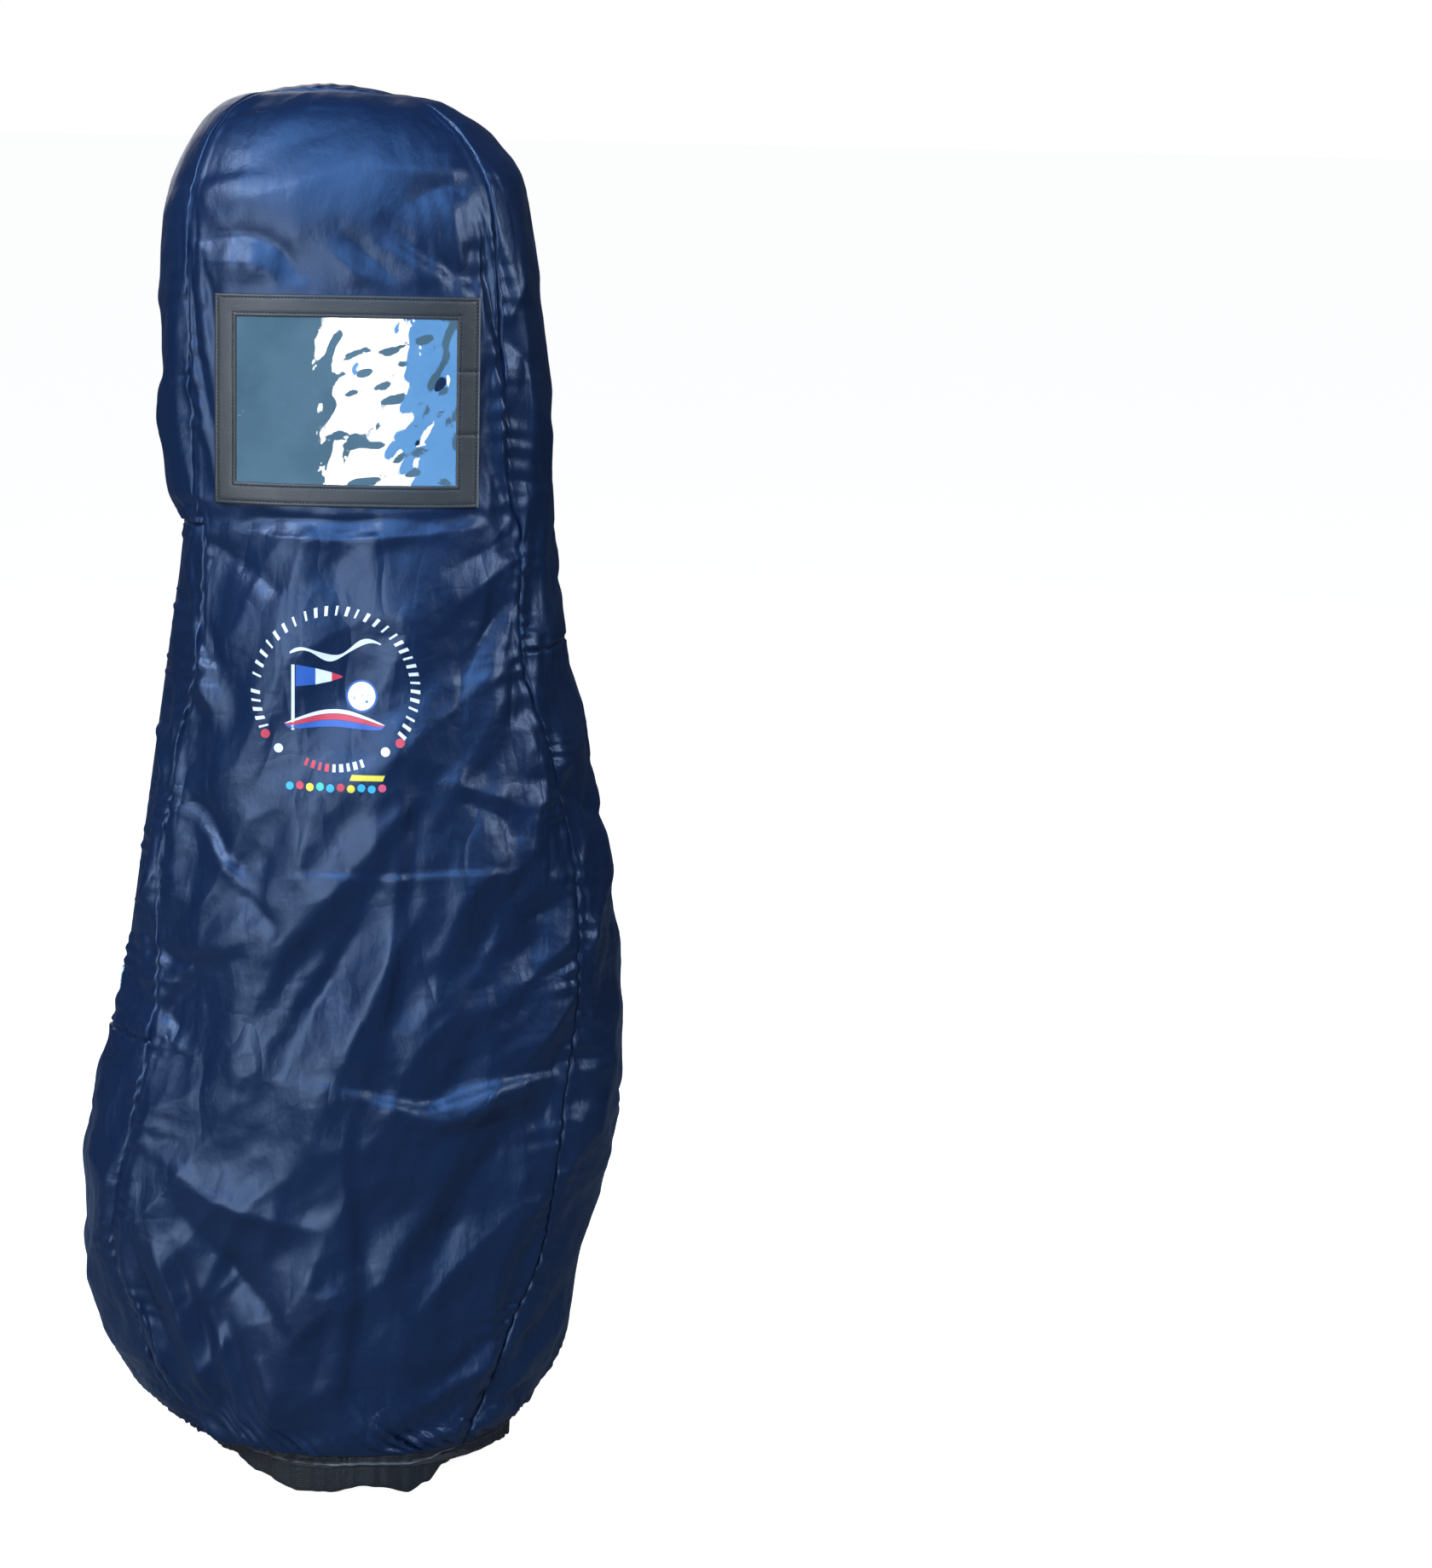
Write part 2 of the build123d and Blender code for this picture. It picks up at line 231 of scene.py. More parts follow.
def top_patch(rim):
    """Inner points of the patch that closes the crown, as (GUSSET-1, FRONT-1, 3)."""
    front = rim[: FRONT_CELLS + 1]
    back = rim[SEAM_COLUMNS["back_right"] : SEAM_COLUMNS["back_left"] + 1][::-1]
    right = rim[FRONT_CELLS : SEAM_COLUMNS["back_right"] + 1]
    left = np.vstack([rim[SEAM_COLUMNS["back_left"] :], rim[:1]])[::-1]
    points = []
    across = clustered(FRONT_CELLS)
    along = clustered(GUSSET_CELLS)
    for j in range(1, GUSSET_CELLS):
        v = along[j]
        for i in range(1, FRONT_CELLS):
            u = across[i]
            edge = (1 - v) * front[i] + v * back[i] + (1 - u) * left[j] + u * right[j]
            corners = (
                (1 - u) * (1 - v) * front[0]
                + u * (1 - v) * front[-1]
                + (1 - u) * v * back[0]
                + u * v * back[-1]
            )
            point = edge - corners
            point[2] += CROWN_RISE * 4 * u * (1 - u) * (0.4 + 2.4 * v * (1 - v))
            points.append(point)
    return np.array(points)


# ---------------------------------------------------------------- meshes


def new_object(name, vertices, faces, smooth=True):
    """A mesh object from arrays of points and faces."""
    mesh = bpy.data.meshes.new(name)
    mesh.from_pydata([tuple(map(float, v)) for v in vertices], [], faces)
    mesh.update()
    if smooth:
        mesh.polygons.foreach_set("use_smooth", [True] * len(mesh.polygons))
    made = bpy.data.objects.new(name, mesh)
    scene.collection.objects.link(made)
    return made


def coordinates(mesh):
    """A mesh's points as an array."""
    flat = np.empty(len(mesh.vertices) * 3)
    mesh.vertices.foreach_get("co", flat)
    return flat.reshape(-1, 3)


def set_coordinates(mesh, points):
    mesh.vertices.foreach_set("co", np.asarray(points, float).ravel())
    mesh.update()


def only(obj):
    """Makes one object the selected and active one."""
    bpy.ops.object.select_all(action="DESELECT")
    obj.select_set(True)
    bpy.context.view_layer.objects.active = obj


def apply_modifiers(obj):
    """Bakes an object's modifiers into its mesh."""
    graph = bpy.context.evaluated_depsgraph_get()
    mesh = bpy.data.meshes.new_from_object(obj.evaluated_get(graph), depsgraph=graph)
    obj.modifiers.clear()
    old = obj.data
    obj.data = mesh
    bpy.data.meshes.remove(old)


def cloth_faces(rows):
    """Faces of the whole cover with, for each, its row and column (-1 on the crown)."""
    faces = []
    places = []
    for r in range(rows - 1):
        for c in range(COLUMNS):
            d = (c + 1) % COLUMNS
            faces.append((r * COLUMNS + c, r * COLUMNS + d, (r + 1) * COLUMNS + d, (r + 1) * COLUMNS + c))
            places.append((r, c))
    rim = (rows - 1) * COLUMNS
    inner = rows * COLUMNS

    def at(i, j):
        if j == 0:
            return rim + i
        if j == GUSSET_CELLS:
            return rim + SEAM_COLUMNS["back_left"] - i
        if i == 0:
            return rim + COLUMNS - j
        if i == FRONT_CELLS:
            return rim + FRONT_CELLS + j
        return inner + (j - 1) * (FRONT_CELLS - 1) + i - 1

    for j in range(GUSSET_CELLS):
        for i in range(FRONT_CELLS):
            faces.append((at(i, j), at(i + 1, j), at(i + 1, j + 1), at(i, j + 1)))
            places.append((rows, -1))
    return faces, places


rows = body_rows()
ROWS = len(rows)
row_z = rows[:, 0, 2]
cover_points = np.vstack([rows.reshape(-1, 3), top_patch(rows[-1])])
cover_faces, face_places = cloth_faces(ROWS)

# The two columns either side of the zip's slit are drawn onto the flaps' straight edges
slit = (SEAM_COLUMNS["back_left"] + GUSSET_CELLS // 2, SEAM_COLUMNS["back_left"] + GUSSET_CELLS // 2 + 1)
zip_rows = [r for r in range(ROWS) if ZIP_LOW[2] - 0.008 < row_z[r] < ZIP_HIGH[2] + 0.008]
for r in zip_rows:
    for side, c in zip((1, -1), slit):
        run = (row_z[r] - ZIP_LOW[2]) / ZIP_UP[2]
        place = ZIP_LOW + ZIP_UP * run + ZIP_OUT * FLAP_HEIGHT
        cover_points[r * COLUMNS + c] = place + np.array([0, side * SLIT_HALF, 0])


def waves(points, seed, count, short, long):
    """Smooth repeatable noise: a sum of sine waves in random directions, about -1 to 1."""
    draw = np.random.default_rng(seed)
    total = np.zeros(len(points))
    for _ in range(count):
        way = draw.normal(size=3)
        way /= np.linalg.norm(way)
        wavelength = draw.uniform(short, long)
        total += np.sin(points @ way * 2 * np.pi / wavelength + draw.uniform(0, 2 * np.pi))
    return total / math.sqrt(count)


# ---------------------------------------------------------------- cloth simulation

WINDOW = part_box("window_frame")
CLOTH_FRAMES = 30
SLACK = 0.035
SEAM_SLACK = 0.004
CLOTH_GRAVITY = 0.04
TWIST = 0.22  # how far the cloth is turned between the hem and the hood, in radians


def inner_form():
    """What fills the cover: the golf bag and its clubs, smooth and a little smaller."""
    filled = body_rows(0.004)
    flat = filled.reshape(-1, 3)
    hollow = 0.006 + 0.006 * waves(flat, 11, 8, 0.18, 0.42)
    neck = np.exp(-(((flat[:, 2] - 0.775) / 0.05) ** 2))
    low_front = np.exp(-(((flat[:, 2] - 0.50) / 0.11) ** 2)) * np.exp(-((flat[:, 0] / 0.06) ** 2))
    hollow += 0.008 * neck + 0.012 * low_front
    sideways = np.abs(flat[:, 0] - 0.005) > 0.13
    hollow = np.where(sideways, np.clip(hollow, 0, 0.004), np.clip(hollow, 0, 0.024))
    middle = flat.copy()
    middle[:, :2] = (filled.mean(axis=1, keepdims=True) + 0 * filled).reshape(-1, 3)[:, :2]
    way = middle - flat
    way[:, 2] = 0
    way /= np.maximum(np.linalg.norm(way, axis=1, keepdims=True), 1e-6)
    points = flat + way * hollow[:, None]
    patch = top_patch(filled[-1])
    patch[:, 2] -= 0.004
    return new_object("inner_form", np.vstack([points, patch]), cover_faces)


def simulate(cloth):
    """Drapes the slack cover over the inner form and leaves the result in its mesh."""
    inner = inner_form()
    inner.modifiers.new("collision", "COLLISION")
    inner.collision.thickness_outer = 0.002
    inner.collision.cloth_friction = 12
    inner.collision.damping = 0.4
    pins = cloth.vertex_groups.new(name="pins")
    slack = cloth.vertex_groups.new(name="slack")
    low, high = WINDOW
    for i, p in enumerate(cover_points):
        r, c = divmod(i, COLUMNS)
        on_hem = r == 0
        on_zip = r in zip_rows and c in slit
        behind_window = (
            p[1] < 0
            and low.x + 0.004 < p[0] < high.x - 0.004
            and low.z + 0.004 < p[2] < high.z - 0.004
        )
        if on_hem or on_zip or behind_window:
            pins.add([i], 1, "REPLACE")
        seam_gap = min(min(abs(c - s), COLUMNS - abs(c - s)) for s in SEAM_COLUMNS.values())
        ease = min(1, seam_gap / 4)
        if r in zip_rows:
            ease = min(ease, abs(c - slit[0]) / 5)
        slack.add([i], ease, "REPLACE")
    cloth.shape_key_add(name="start")
    rest = cloth.shape_key_add(name="rest")
    turn = TWIST * np.clip((cover_points[:, 2] - 0.1) / 0.7, 0, 1)
    turned = cover_points.copy()
    turned[:, 0] = cover_points[:, 0] * np.cos(turn) - cover_points[:, 1] * np.sin(turn)
    turned[:, 1] = cover_points[:, 0] * np.sin(turn) + cover_points[:, 1] * np.cos(turn)
    rest.data.foreach_set("co", turned.ravel())
    mod = cloth.modifiers.new("cloth", "CLOTH")
    s = mod.settings
    s.rest_shape_key = rest
    s.effector_weights.gravity = CLOTH_GRAVITY
    s.quality = 6
    s.mass = 0.15
    s.air_damping = 1.5
    s.tension_stiffness = 25
    s.compression_stiffness = 25
    s.shear_stiffness = 8
    s.bending_stiffness = 0.7
    s.tension_damping = 8
    s.compression_damping = 8
    s.shear_damping = 8
    s.bending_damping = 0.5
    s.vertex_group_mass = "pins"
    s.pin_stiffness = 1
    s.vertex_group_shrink = "slack"
    s.shrink_min = -SEAM_SLACK
    s.shrink_max = -SLACK
    mod.collision_settings.distance_min = 0.002
    mod.collision_settings.collision_quality = 2
    mod.point_cache.frame_start = 1
    mod.point_cache.frame_end = CLOTH_FRAMES
    for step in range(1, CLOTH_FRAMES + 1):
        scene.frame_set(step)
    apply_modifiers(cloth)
    bpy.data.objects.remove(inner)
    scene.frame_set(1)


# ---------------------------------------------------------------- the finished cloth

REFINE = 3
TOPSTITCH = 0.0125


def refine(grid, closed=False):
    """REFINE times as many points along a grid's first axis, by cubic B-spline."""
    n = len(grid)
    cells = n if closed else n - 1
    at = np.arange(cells * REFINE + (0 if closed else 1)) / REFINE
    first = np.minimum(at.astype(int), cells - 1)
    t = (at - first).reshape(-1, *[1] * (grid.ndim - 1))

    def near(k):
        k = first + k
        if closed:
            return grid[k % n]
        past = [(k < 0), (k >= n)]
        before, after = (p.reshape(t.shape) for p in past)
        ends = (grid[0] - grid[1]) * before + (grid[-1] - grid[-2]) * after
        return grid[np.clip(k, 0, n - 1)] + ends

    a, b, c, d = (near(k) for k in (-1, 0, 1, 2))
    return (
        (1 - t) ** 3 * a
        + (3 * t**3 - 6 * t**2 + 4) * b
        + (-3 * t**3 + 3 * t**2 + 3 * t + 1) * c
        + t**3 * d
    ) / 6


def refine_both(grid, closed):
    """A grid refined along its rows, which may close on themselves, and its columns."""
    across = refine(np.swapaxes(grid, 0, 1), closed)
    return refine(np.swapaxes(across, 0, 1))


def normals_of(grid, closed):
    """Outward unit normals of a grid of points."""
    if closed:
        across = np.roll(grid, -1, 1) - np.roll(grid, 1, 1)
    else:
        across = np.gradient(grid, axis=1)
    out = np.cross(across, np.gradient(grid, axis=0))
    return out / np.maximum(np.linalg.norm(out, axis=2, keepdims=True), 1e-12)


def split(points):
    """The body's grid and the crown patch's grid, from the list of cover points."""
    body = points[: ROWS * COLUMNS].reshape(ROWS, COLUMNS, 3)
    rim = body[-1]
    patch = np.empty((GUSSET_CELLS + 1, FRONT_CELLS + 1, 3))
    patch[1:-1, 1:-1] = points[ROWS * COLUMNS :].reshape(GUSSET_CELLS - 1, FRONT_CELLS - 1, 3)
    edge_patch(patch, rim, 1)
    return body, patch


def edge_patch(patch, rim, factor):
    """Gives the crown patch's border the points of the rim."""
    front, side = FRONT_CELLS * factor, GUSSET_CELLS * factor
    patch[0] = rim[: front + 1]
    patch[-1] = rim[front + side : 2 * front + side + 1][::-1]
    patch[:, -1] = rim[front : front + side + 1]
    patch[:, 0] = np.vstack([rim[2 * front + side :], rim[:1]])[::-1]


def step_up(value, low, high):
    """0 below low, 1 above high, smooth between."""
    t = np.clip((value - low) / (high - low), 0, 1)
    return t * t * (3 - 2 * t)


Fold = namedtuple("Fold", "side kind depth width path")
# Folds of the cloth: the side they are on, their kind, depth and half width in
# millimetres, and their line: x and z on the front and back, y and z on the gussets
FOLDS = [
    # the hood, above and beside the window
    Fold("front", "valley", 5.0, 11, [(-141, 1062), (-110, 1070), (-80, 1067), (-60, 1055), (-43, 1030)]),
    Fold("front", "ridge", 3.0, 12, [(-146, 1040), (-112, 1046), (-84, 1045), (-66, 1034)]),
    Fold("front", "valley", 3.4, 10, [(-14, 1074), (6, 1056), (38, 1030)]),
    Fold("front", "ridge", 2.4, 12, [(-30, 1064), (-8, 1046), (14, 1032)]),
    Fold("front", "valley", 4.2, 11, [(15, 1091), (38, 1064), (75, 1044), (94, 1034), (118, 1030)]),
    Fold("front", "ridge", 3.0, 13, [(20, 1068), (50, 1048), (84, 1032)]),
    Fold("front", "valley", 3.2, 9, [(40, 1098), (60, 1110), (76, 1112), (89, 1103)]),
    Fold("front", "ridge", 2.4, 15, [(0, 1128), (46, 1124), (92, 1124)]),
    Fold("front", "valley", 2.4, 26, [(-110, 1118), (-60, 1148), (10, 1162)]),
    Fold("front", "ridge", 2.4, 26, [(-120, 1090), (-40, 1116), (30, 1144)]),
    Fold("front", "valley", 2.6, 6, [(86, 1060), (104, 1058), (124, 1050)]),
    Fold("front", "valley", 2.4, 6, [(96, 1043), (112, 1040), (132, 1046)]),
    Fold("front", "valley", 2.2, 7, [(-142, 1010), (-124, 1002), (-112, 990)]),
    Fold("front", "valley", 2.4, 7, [(-144, 900), (-124, 884), (-112, 866)]),
    Fold("front", "valley", 2.0, 6, [(122, 990), (138, 968), (150, 950)]),
    Fold("front", "valley", 2.2, 7, [(118, 882), (136, 868), (152, 862)]),
    # under the window and beside the print
    Fold("front", "valley", 4.4, 8, [(-112, 846), (-70, 838), (-20, 836), (40, 840), (96, 846)]),
    Fold("front", "ridge", 2.8, 10, [(-130, 828), (-60, 818), (20, 820), (110, 832)]),
    Fold("front", "valley", 3.4, 9, [(-124, 808), (-88, 792), (-58, 772)]),
    Fold("front", "valley", 3.2, 10, [(134, 826), (98, 806), (70, 790)]),
    Fold("front", "ridge", 2.6, 12, [(140, 806), (104, 784), (80, 760)]),
    Fold("front", "valley", 3.6, 11, [(142, 778), (112, 748), (94, 712), (88, 676)]),
    Fold("front", "valley", 2.6, 9, [(-146, 760), (-126, 734), (-114, 700)]),
    Fold("front", "ridge", 2.6, 9, [(-150, 720), (-132, 690), (-118, 664)]),
    # the long diagonal folds from the print down to the left
    Fold("front", "ridge", 7.0, 26, [(84, 650), (40, 590), (-10, 530), (-62, 470), (-84, 420), (-100, 350)]),
    Fold("front", "valley", 7.5, 22, [(62, 612), (36, 560), (6, 500), (-26, 440), (-54, 380), (-66, 320)]),
    Fold("front", "ridge", 5.0, 18, [(60, 540), (36, 470), (6, 410), (-22, 350), (-34, 300)]),
    Fold("front", "valley", 4.4, 22, [(-30, 640), (-70, 580), (-110, 520), (-140, 450)]),
    Fold("front", "step", 4.6, 9, [(46, 640), (50, 590), (46, 540), (40, 486), (36, 440), (26, 400), (14, 362)]),
    Fold("front", "step", 3.8, 8, [(12, 350), (0, 318), (2, 280), (6, 240), (8, 190), (2, 140), (-4, 96), (-8, 60)]),
    Fold("front", "valley", 4.2, 8, [(-154, 606), (-128, 585), (-109, 557), (-88, 539)]),
    Fold("front", "ridge", 3.4, 10, [(-150, 588), (-126, 566), (-106, 540), (-84, 524)]),
    Fold("front", "valley", 3.2, 9, [(-94, 524), (-72, 506), (-56, 488)]),
    Fold("front", "valley", 4.0, 9, [(-190, 478), (-168, 456), (-140, 458), (-108, 466)]),
    Fold("front", "valley", 3.2, 8, [(-196, 428), (-170, 412), (-146, 398)]),
    Fold("front", "ridge", 3.0, 10, [(-200, 404), (-166, 392), (-132, 376)]),
    Fold("front", "valley", 3.4, 10, [(86, 606), (112, 600), (128, 588), (136, 566)]),
    Fold("front", "ridge", 4.2, 13, [(70, 622), (104, 612), (142, 596)]),
    Fold("front", "ridge", 3.6, 14, [(136, 560), (104, 534), (84, 500), (72, 458)]),
    Fold("front", "valley", 3.8, 12, [(160, 556), (128, 520), (108, 480), (100, 430)]),
    Fold("front", "valley", 2.8, 8, [(186, 520), (166, 506), (146, 504)]),
    Fold("front", "valley", 2.8, 8, [(196, 470), (170, 452), (150, 452)]),
    # the two creases that storage left across the front
    Fold("front", "step", 1.1, 3, [(-72, 541), (-20, 543), (30, 541), (90, 544), (160, 546)]),
    Fold("front", "step", 4.4, 8, [(-40, 366), (4, 361), (34, 352), (66, 344), (92, 352), (128, 364), (190, 368), (228, 372)]),
    Fold("front", "ridge", 4.4, 11, [(44, 338), (84, 330), (112, 344), (150, 350)]),
    Fold("front", "valley", 4.6, 14, [(60, 318), (110, 322), (160, 334), (206, 344)]),
    # the full lower part
    Fold("front", "valley", 5.4, 20, [(150, 330), (110, 290), (80, 236), (66, 180)]),
    Fold("front", "ridge", 4.6, 22, [(190, 300), (150, 250), (124, 190), (110, 130)]),
    Fold("front", "ridge", 6.2, 20, [(-170, 300), (-120, 262), (-60, 246), (-10, 240)]),
    Fold("front", "valley", 5.4, 13, [(-150, 252), (-110, 212), (-70, 170), (-40, 138)]),
    Fold("front", "ridge", 5.0, 12, [(-56, 158), (-24, 176), (-2, 190)]),
    Fold("front", "ridge", 4.6, 10, [(-30, 206), (-38, 168), (-46, 132)]),
    Fold("front", "valley", 3.6, 9, [(-14, 176), (-20, 132), (-28, 92)]),
    Fold("front", "ridge", 4.6, 9, [(-202, 226), (-188, 176), (-166, 122), (-146, 84)]),
    Fold("front", "valley", 4.2, 8, [(-188, 232), (-172, 176), (-150, 120), (-134, 80)]),
    Fold("front", "ridge", 4.6, 9, [(-172, 236), (-152, 182), (-134, 122), (-120, 76)]),
    Fold("front", "valley", 4.0, 8, [(-154, 226), (-134, 176), (-118, 120), (-106, 72)]),
    Fold("front", "ridge", 4.2, 9, [(-130, 196), (-112, 150), (-100, 106), (-92, 68)]),
    Fold("front", "valley", 3.6, 8, [(-106, 164), (-94, 126), (-84, 92), (-78, 62)]),
    Fold("front", "ridge", 3.6, 8, [(-78, 130), (-68, 100), (-60, 66)]),
    Fold("front", "ridge", 4.2, 10, [(206, 196), (180, 150), (150, 110), (120, 76)]),
    Fold("front", "valley", 4.2, 9, [(186, 190), (160, 142), (132, 104), (104, 74)]),
    Fold("front", "ridge", 4.2, 11, [(160, 150), (120, 116), (80, 92), (48, 70)]),
    Fold("front", "valley", 3.4, 9, [(126, 142), (92, 110), (60, 88)]),
]
SIDE_AXES = {"front": (0, 1, -1), "back": (0, 1, 1), "left": (1, 0, -1), "right": (1, 0, 1)}


def fold_relief(fold, points, facing):
    """How far one fold moves each point along its normal."""
    along, out, sign = SIDE_AXES[fold.side]
    line = np.array(fold.path, float) / 1000
    for _ in range(2):  # rounds the line's corners
        cut = np.empty((2 * len(line), 2))
        cut[0], cut[-1] = line[0], line[-1]
        cut[1:-1:2] = 0.75 * line[:-1] + 0.25 * line[1:]
        cut[2:-1:2] = 0.25 * line[:-1] + 0.75 * line[1:]
        line = cut
    width, depth = fold.width / 1000, fold.depth / 1000
    flat = points[..., [along, 2]]
    reach = 4 * width
    near = (facing[..., out] * sign > 0.05) & np.all(flat > line.min(0) - reach, axis=-1)
    near &= np.all(flat < line.max(0) + reach, axis=-1)
    at = flat[near]
    relief = np.zeros(points.shape[:-1])
    if not len(at):
        return relief
    spans = np.linalg.norm(np.diff(line, axis=0), axis=1)
    total = spans.sum()
    best = np.full(len(at), np.inf)
    signed = np.zeros(len(at))
    share = np.zeros(len(at))
    start = 0.0
    for a, b, span in zip(line[:-1], line[1:], spans):
        if span < 1e-9:
            continue
        way = (b - a) / span
        gap = at - a
        t = np.clip(gap @ way, 0, span)
        away = gap - t[:, None] * way
        distance = np.linalg.norm(away, axis=1)
        closer = distance < best
        best = np.where(closer, distance, best)
        side = np.sign(way[0] * gap[:, 1] - way[1] * gap[:, 0])
        signed = np.where(closer, side * distance, signed)
        share = np.where(closer, (start + t) / total, share)
        start += span
    d = best / width
    if fold.kind == "valley":
        shape = -np.exp(-(d**1.35))
    elif fold.kind == "ridge":
        shape = np.exp(-(np.sqrt(d * d + 0.016) - 0.126) * 1.3)
    else:
        shape = -1.9 * signed / width * np.exp(-d) * (1 if signed.size else 0)
    ends = np.clip(np.sin(np.pi * np.clip(share, 0.02, 0.98)), 0, 1) ** 0.7
    turned = step_up(facing[near][:, out] * sign, 0.05, 0.35)
    relief[near] = FOLD_STRENGTH * depth * shape * ends * turned
    return relief


def spare_folds():
    """Folds of the back and the gussets, which the camera's side doesn't show."""
    draw = np.random.default_rng(23)
    made = []
    spans = {"back": 0.19, "left": 0.10, "right": 0.10}
    for side, count in (("back", 62), ("left", 34), ("right", 40)):
        half = spans[side] * 1000
        for _ in range(count):
            x, z = draw.uniform(-half, half), draw.uniform(90, 1120)
            low = 1 - z / 1200
            length = draw.uniform(40, 90 + 90 * low)
            lean = draw.choice([-1, 1]) * draw.uniform(0.3, 1.1)
            sag = draw.uniform(-0.25, 0.25) * length
            kind = draw.choice(["valley", "ridge", "valley", "step"])
            depth = draw.uniform(1.6, 3.4) * (0.7 + 0.9 * low)
            width = draw.uniform(6, 12) * (0.8 + 0.8 * low)
            ends = np.array([math.sin(lean), -math.cos(lean)]) * length / 2
            middle = np.array([x + sag * math.cos(lean), z + sag * math.sin(lean)])
            path = [tuple(np.array([x, z]) - ends), tuple(middle), tuple(np.array([x, z]) + ends)]
            made.append(Fold(side, kind, depth, width, path))
    return made


def wander(values, seed, short, long):
    """Irregular phase for puckers: waves whose length drifts between short and long."""
    draw = np.random.default_rng(seed)
    mean = (short + long) / 2
    drift = sum(
        np.sin(values * 2 * np.pi / draw.uniform(3 * mean, 9 * mean) + draw.uniform(0, 6.3))
        for _ in range(3)
    )
    return values * 2 * np.pi / mean + drift * 1.4


def patchy(values, seed, length):
    """Where puckers are strong and where they fade out, from 0.15 to 1."""
    draw = np.random.default_rng(seed)
    total = sum(
        np.sin(values * 2 * np.pi / (length * draw.uniform(0.6, 1.6)) + draw.uniform(0, 6.3))
        for _ in range(3)
    )
    return 0.15 + 0.85 * step_up(total, -1.6, 1.8)


SEAM_DEPTH = 0.0032
PUCKER = 0.0017
HEM_GATHER = 0.0042


def seam_relief(around, total, heights, columns):
    """Grooves and puckers along the four long seams, as (rows, columns)."""
    relief = np.zeros_like(around)
    z = heights[:, None]
    hood_calm = 1 - 0.55 * step_up(z, 0.98, 1.08)
    for k, (name, column) in enumerate(SEAM_COLUMNS.items()):
        gap = around - around[:, [column * REFINE]]
        gap = (gap + total / 2) % total - total / 2
        d = np.abs(gap)
        relief -= SEAM_DEPTH * np.exp(-((d / 0.0015) ** 2))
        allowance = gap if name in ("front_left", "back_right") else -gap
        relief += 0.0005 * step_up(allowance, 0.001, 0.004) * (1 - step_up(allowance, 0.006, 0.010))
        for side in (-1, 1):
            on_side = np.where(gap * side > 0, 1.0, 0.0)
            ripple = np.sin(wander(z, 31 + 2 * k + side, 0.013, 0.022) + gap * side * 60)
            reach = 0.010 + 0.014 * patchy(z, 51 + 2 * k + side, 0.12)
            strength = PUCKER * patchy(z, 71 + 2 * k + side, 0.09)
            relief += on_side * strength * ripple * np.exp(-d / reach) * step_up(d, 0, 0.003) * hood_calm
    return relief


def cross_seam_relief(around, total, heights):
    """The same for the gussets' cross seams and the zip's edges."""
    relief = np.zeros_like(around)
    corners = {k: around[:, [c * REFINE]] for k, c in SEAM_COLUMNS.items()}
    on_left = step_up(around, corners["back_left"], corners["back_left"] + 0.004)
    on_right = step_up(around, corners["front_right"], corners["front_right"] + 0.004) * (
        1 - step_up(around, corners["back_right"] - 0.004, corners["back_right"])
    )
    for name, place in SEAM_HEIGHTS.items():
        mask = on_right if name == "right" else on_left
        gap = heights[:, None] - place
        d = np.abs(gap)
        relief -= mask * SEAM_DEPTH * np.exp(-((d / 0.0017) ** 2))
        ripple = np.sin(wander(around, 91 + len(name), 0.012, 0.02) + gap * 50)
        relief += mask * PUCKER * ripple * np.exp(-d / 0.014) * step_up(d, 0, 0.003)
    zip_on = step_up(heights, ZIP_LOW[2] - 0.01, ZIP_LOW[2]) * (
        1 - step_up(heights, ZIP_HIGH[2], ZIP_HIGH[2] + 0.01)
    )
    middle = (around[:, [slit[0] * REFINE]] + around[:, [slit[1] * REFINE]]) / 2
    gap = around - middle
    d = np.abs(gap)
    by_slit = zip_on[:, None] * (1 - step_up(d, 0.006, 0.015))
    relief *= 1 - by_slit
    swell = by_slit * step_up(d, SLIT_HALF, 0.0045) * FLAP_LIFT
    relief += swell * step_up(heights, ZIP_HIGH[2] - 0.040, ZIP_HIGH[2] - 0.016)[:, None]
    for side, seed in ((-1, 111), (1, 117)):
        on_side = np.where(gap * side > 0, 1.0, 0.0) * zip_on[:, None]
        ripple = np.sin(wander(heights[:, None], seed, 0.011, 0.019) + gap * side * 30)
        fade = step_up(d, 0.0125, 0.0190) * np.exp(-np.maximum(d - 0.0190, 0) / 0.016)
        relief += on_side * 1.25 * PUCKER * patchy(heights[:, None], seed + 9, 0.08) * ripple * fade
        relief -= on_side * 0.0009 * np.exp(-(((d - TOPSTITCH) / 0.0009) ** 2))
    return relief


def gather_relief(around, heights):
    """Gathers where the elastic draws the hem in."""
    z = (heights - heights[0])[:, None]
    ripple = np.sin(wander(around, 131, 0.010, 0.017)) + 0.5 * np.sin(wander(around, 137, 0.022, 0.04))
    rise = step_up(z, 0.0, 0.009) * np.exp(-z / 0.030)
    return HEM_GATHER * patchy(around, 139, 0.11) * ripple * rise


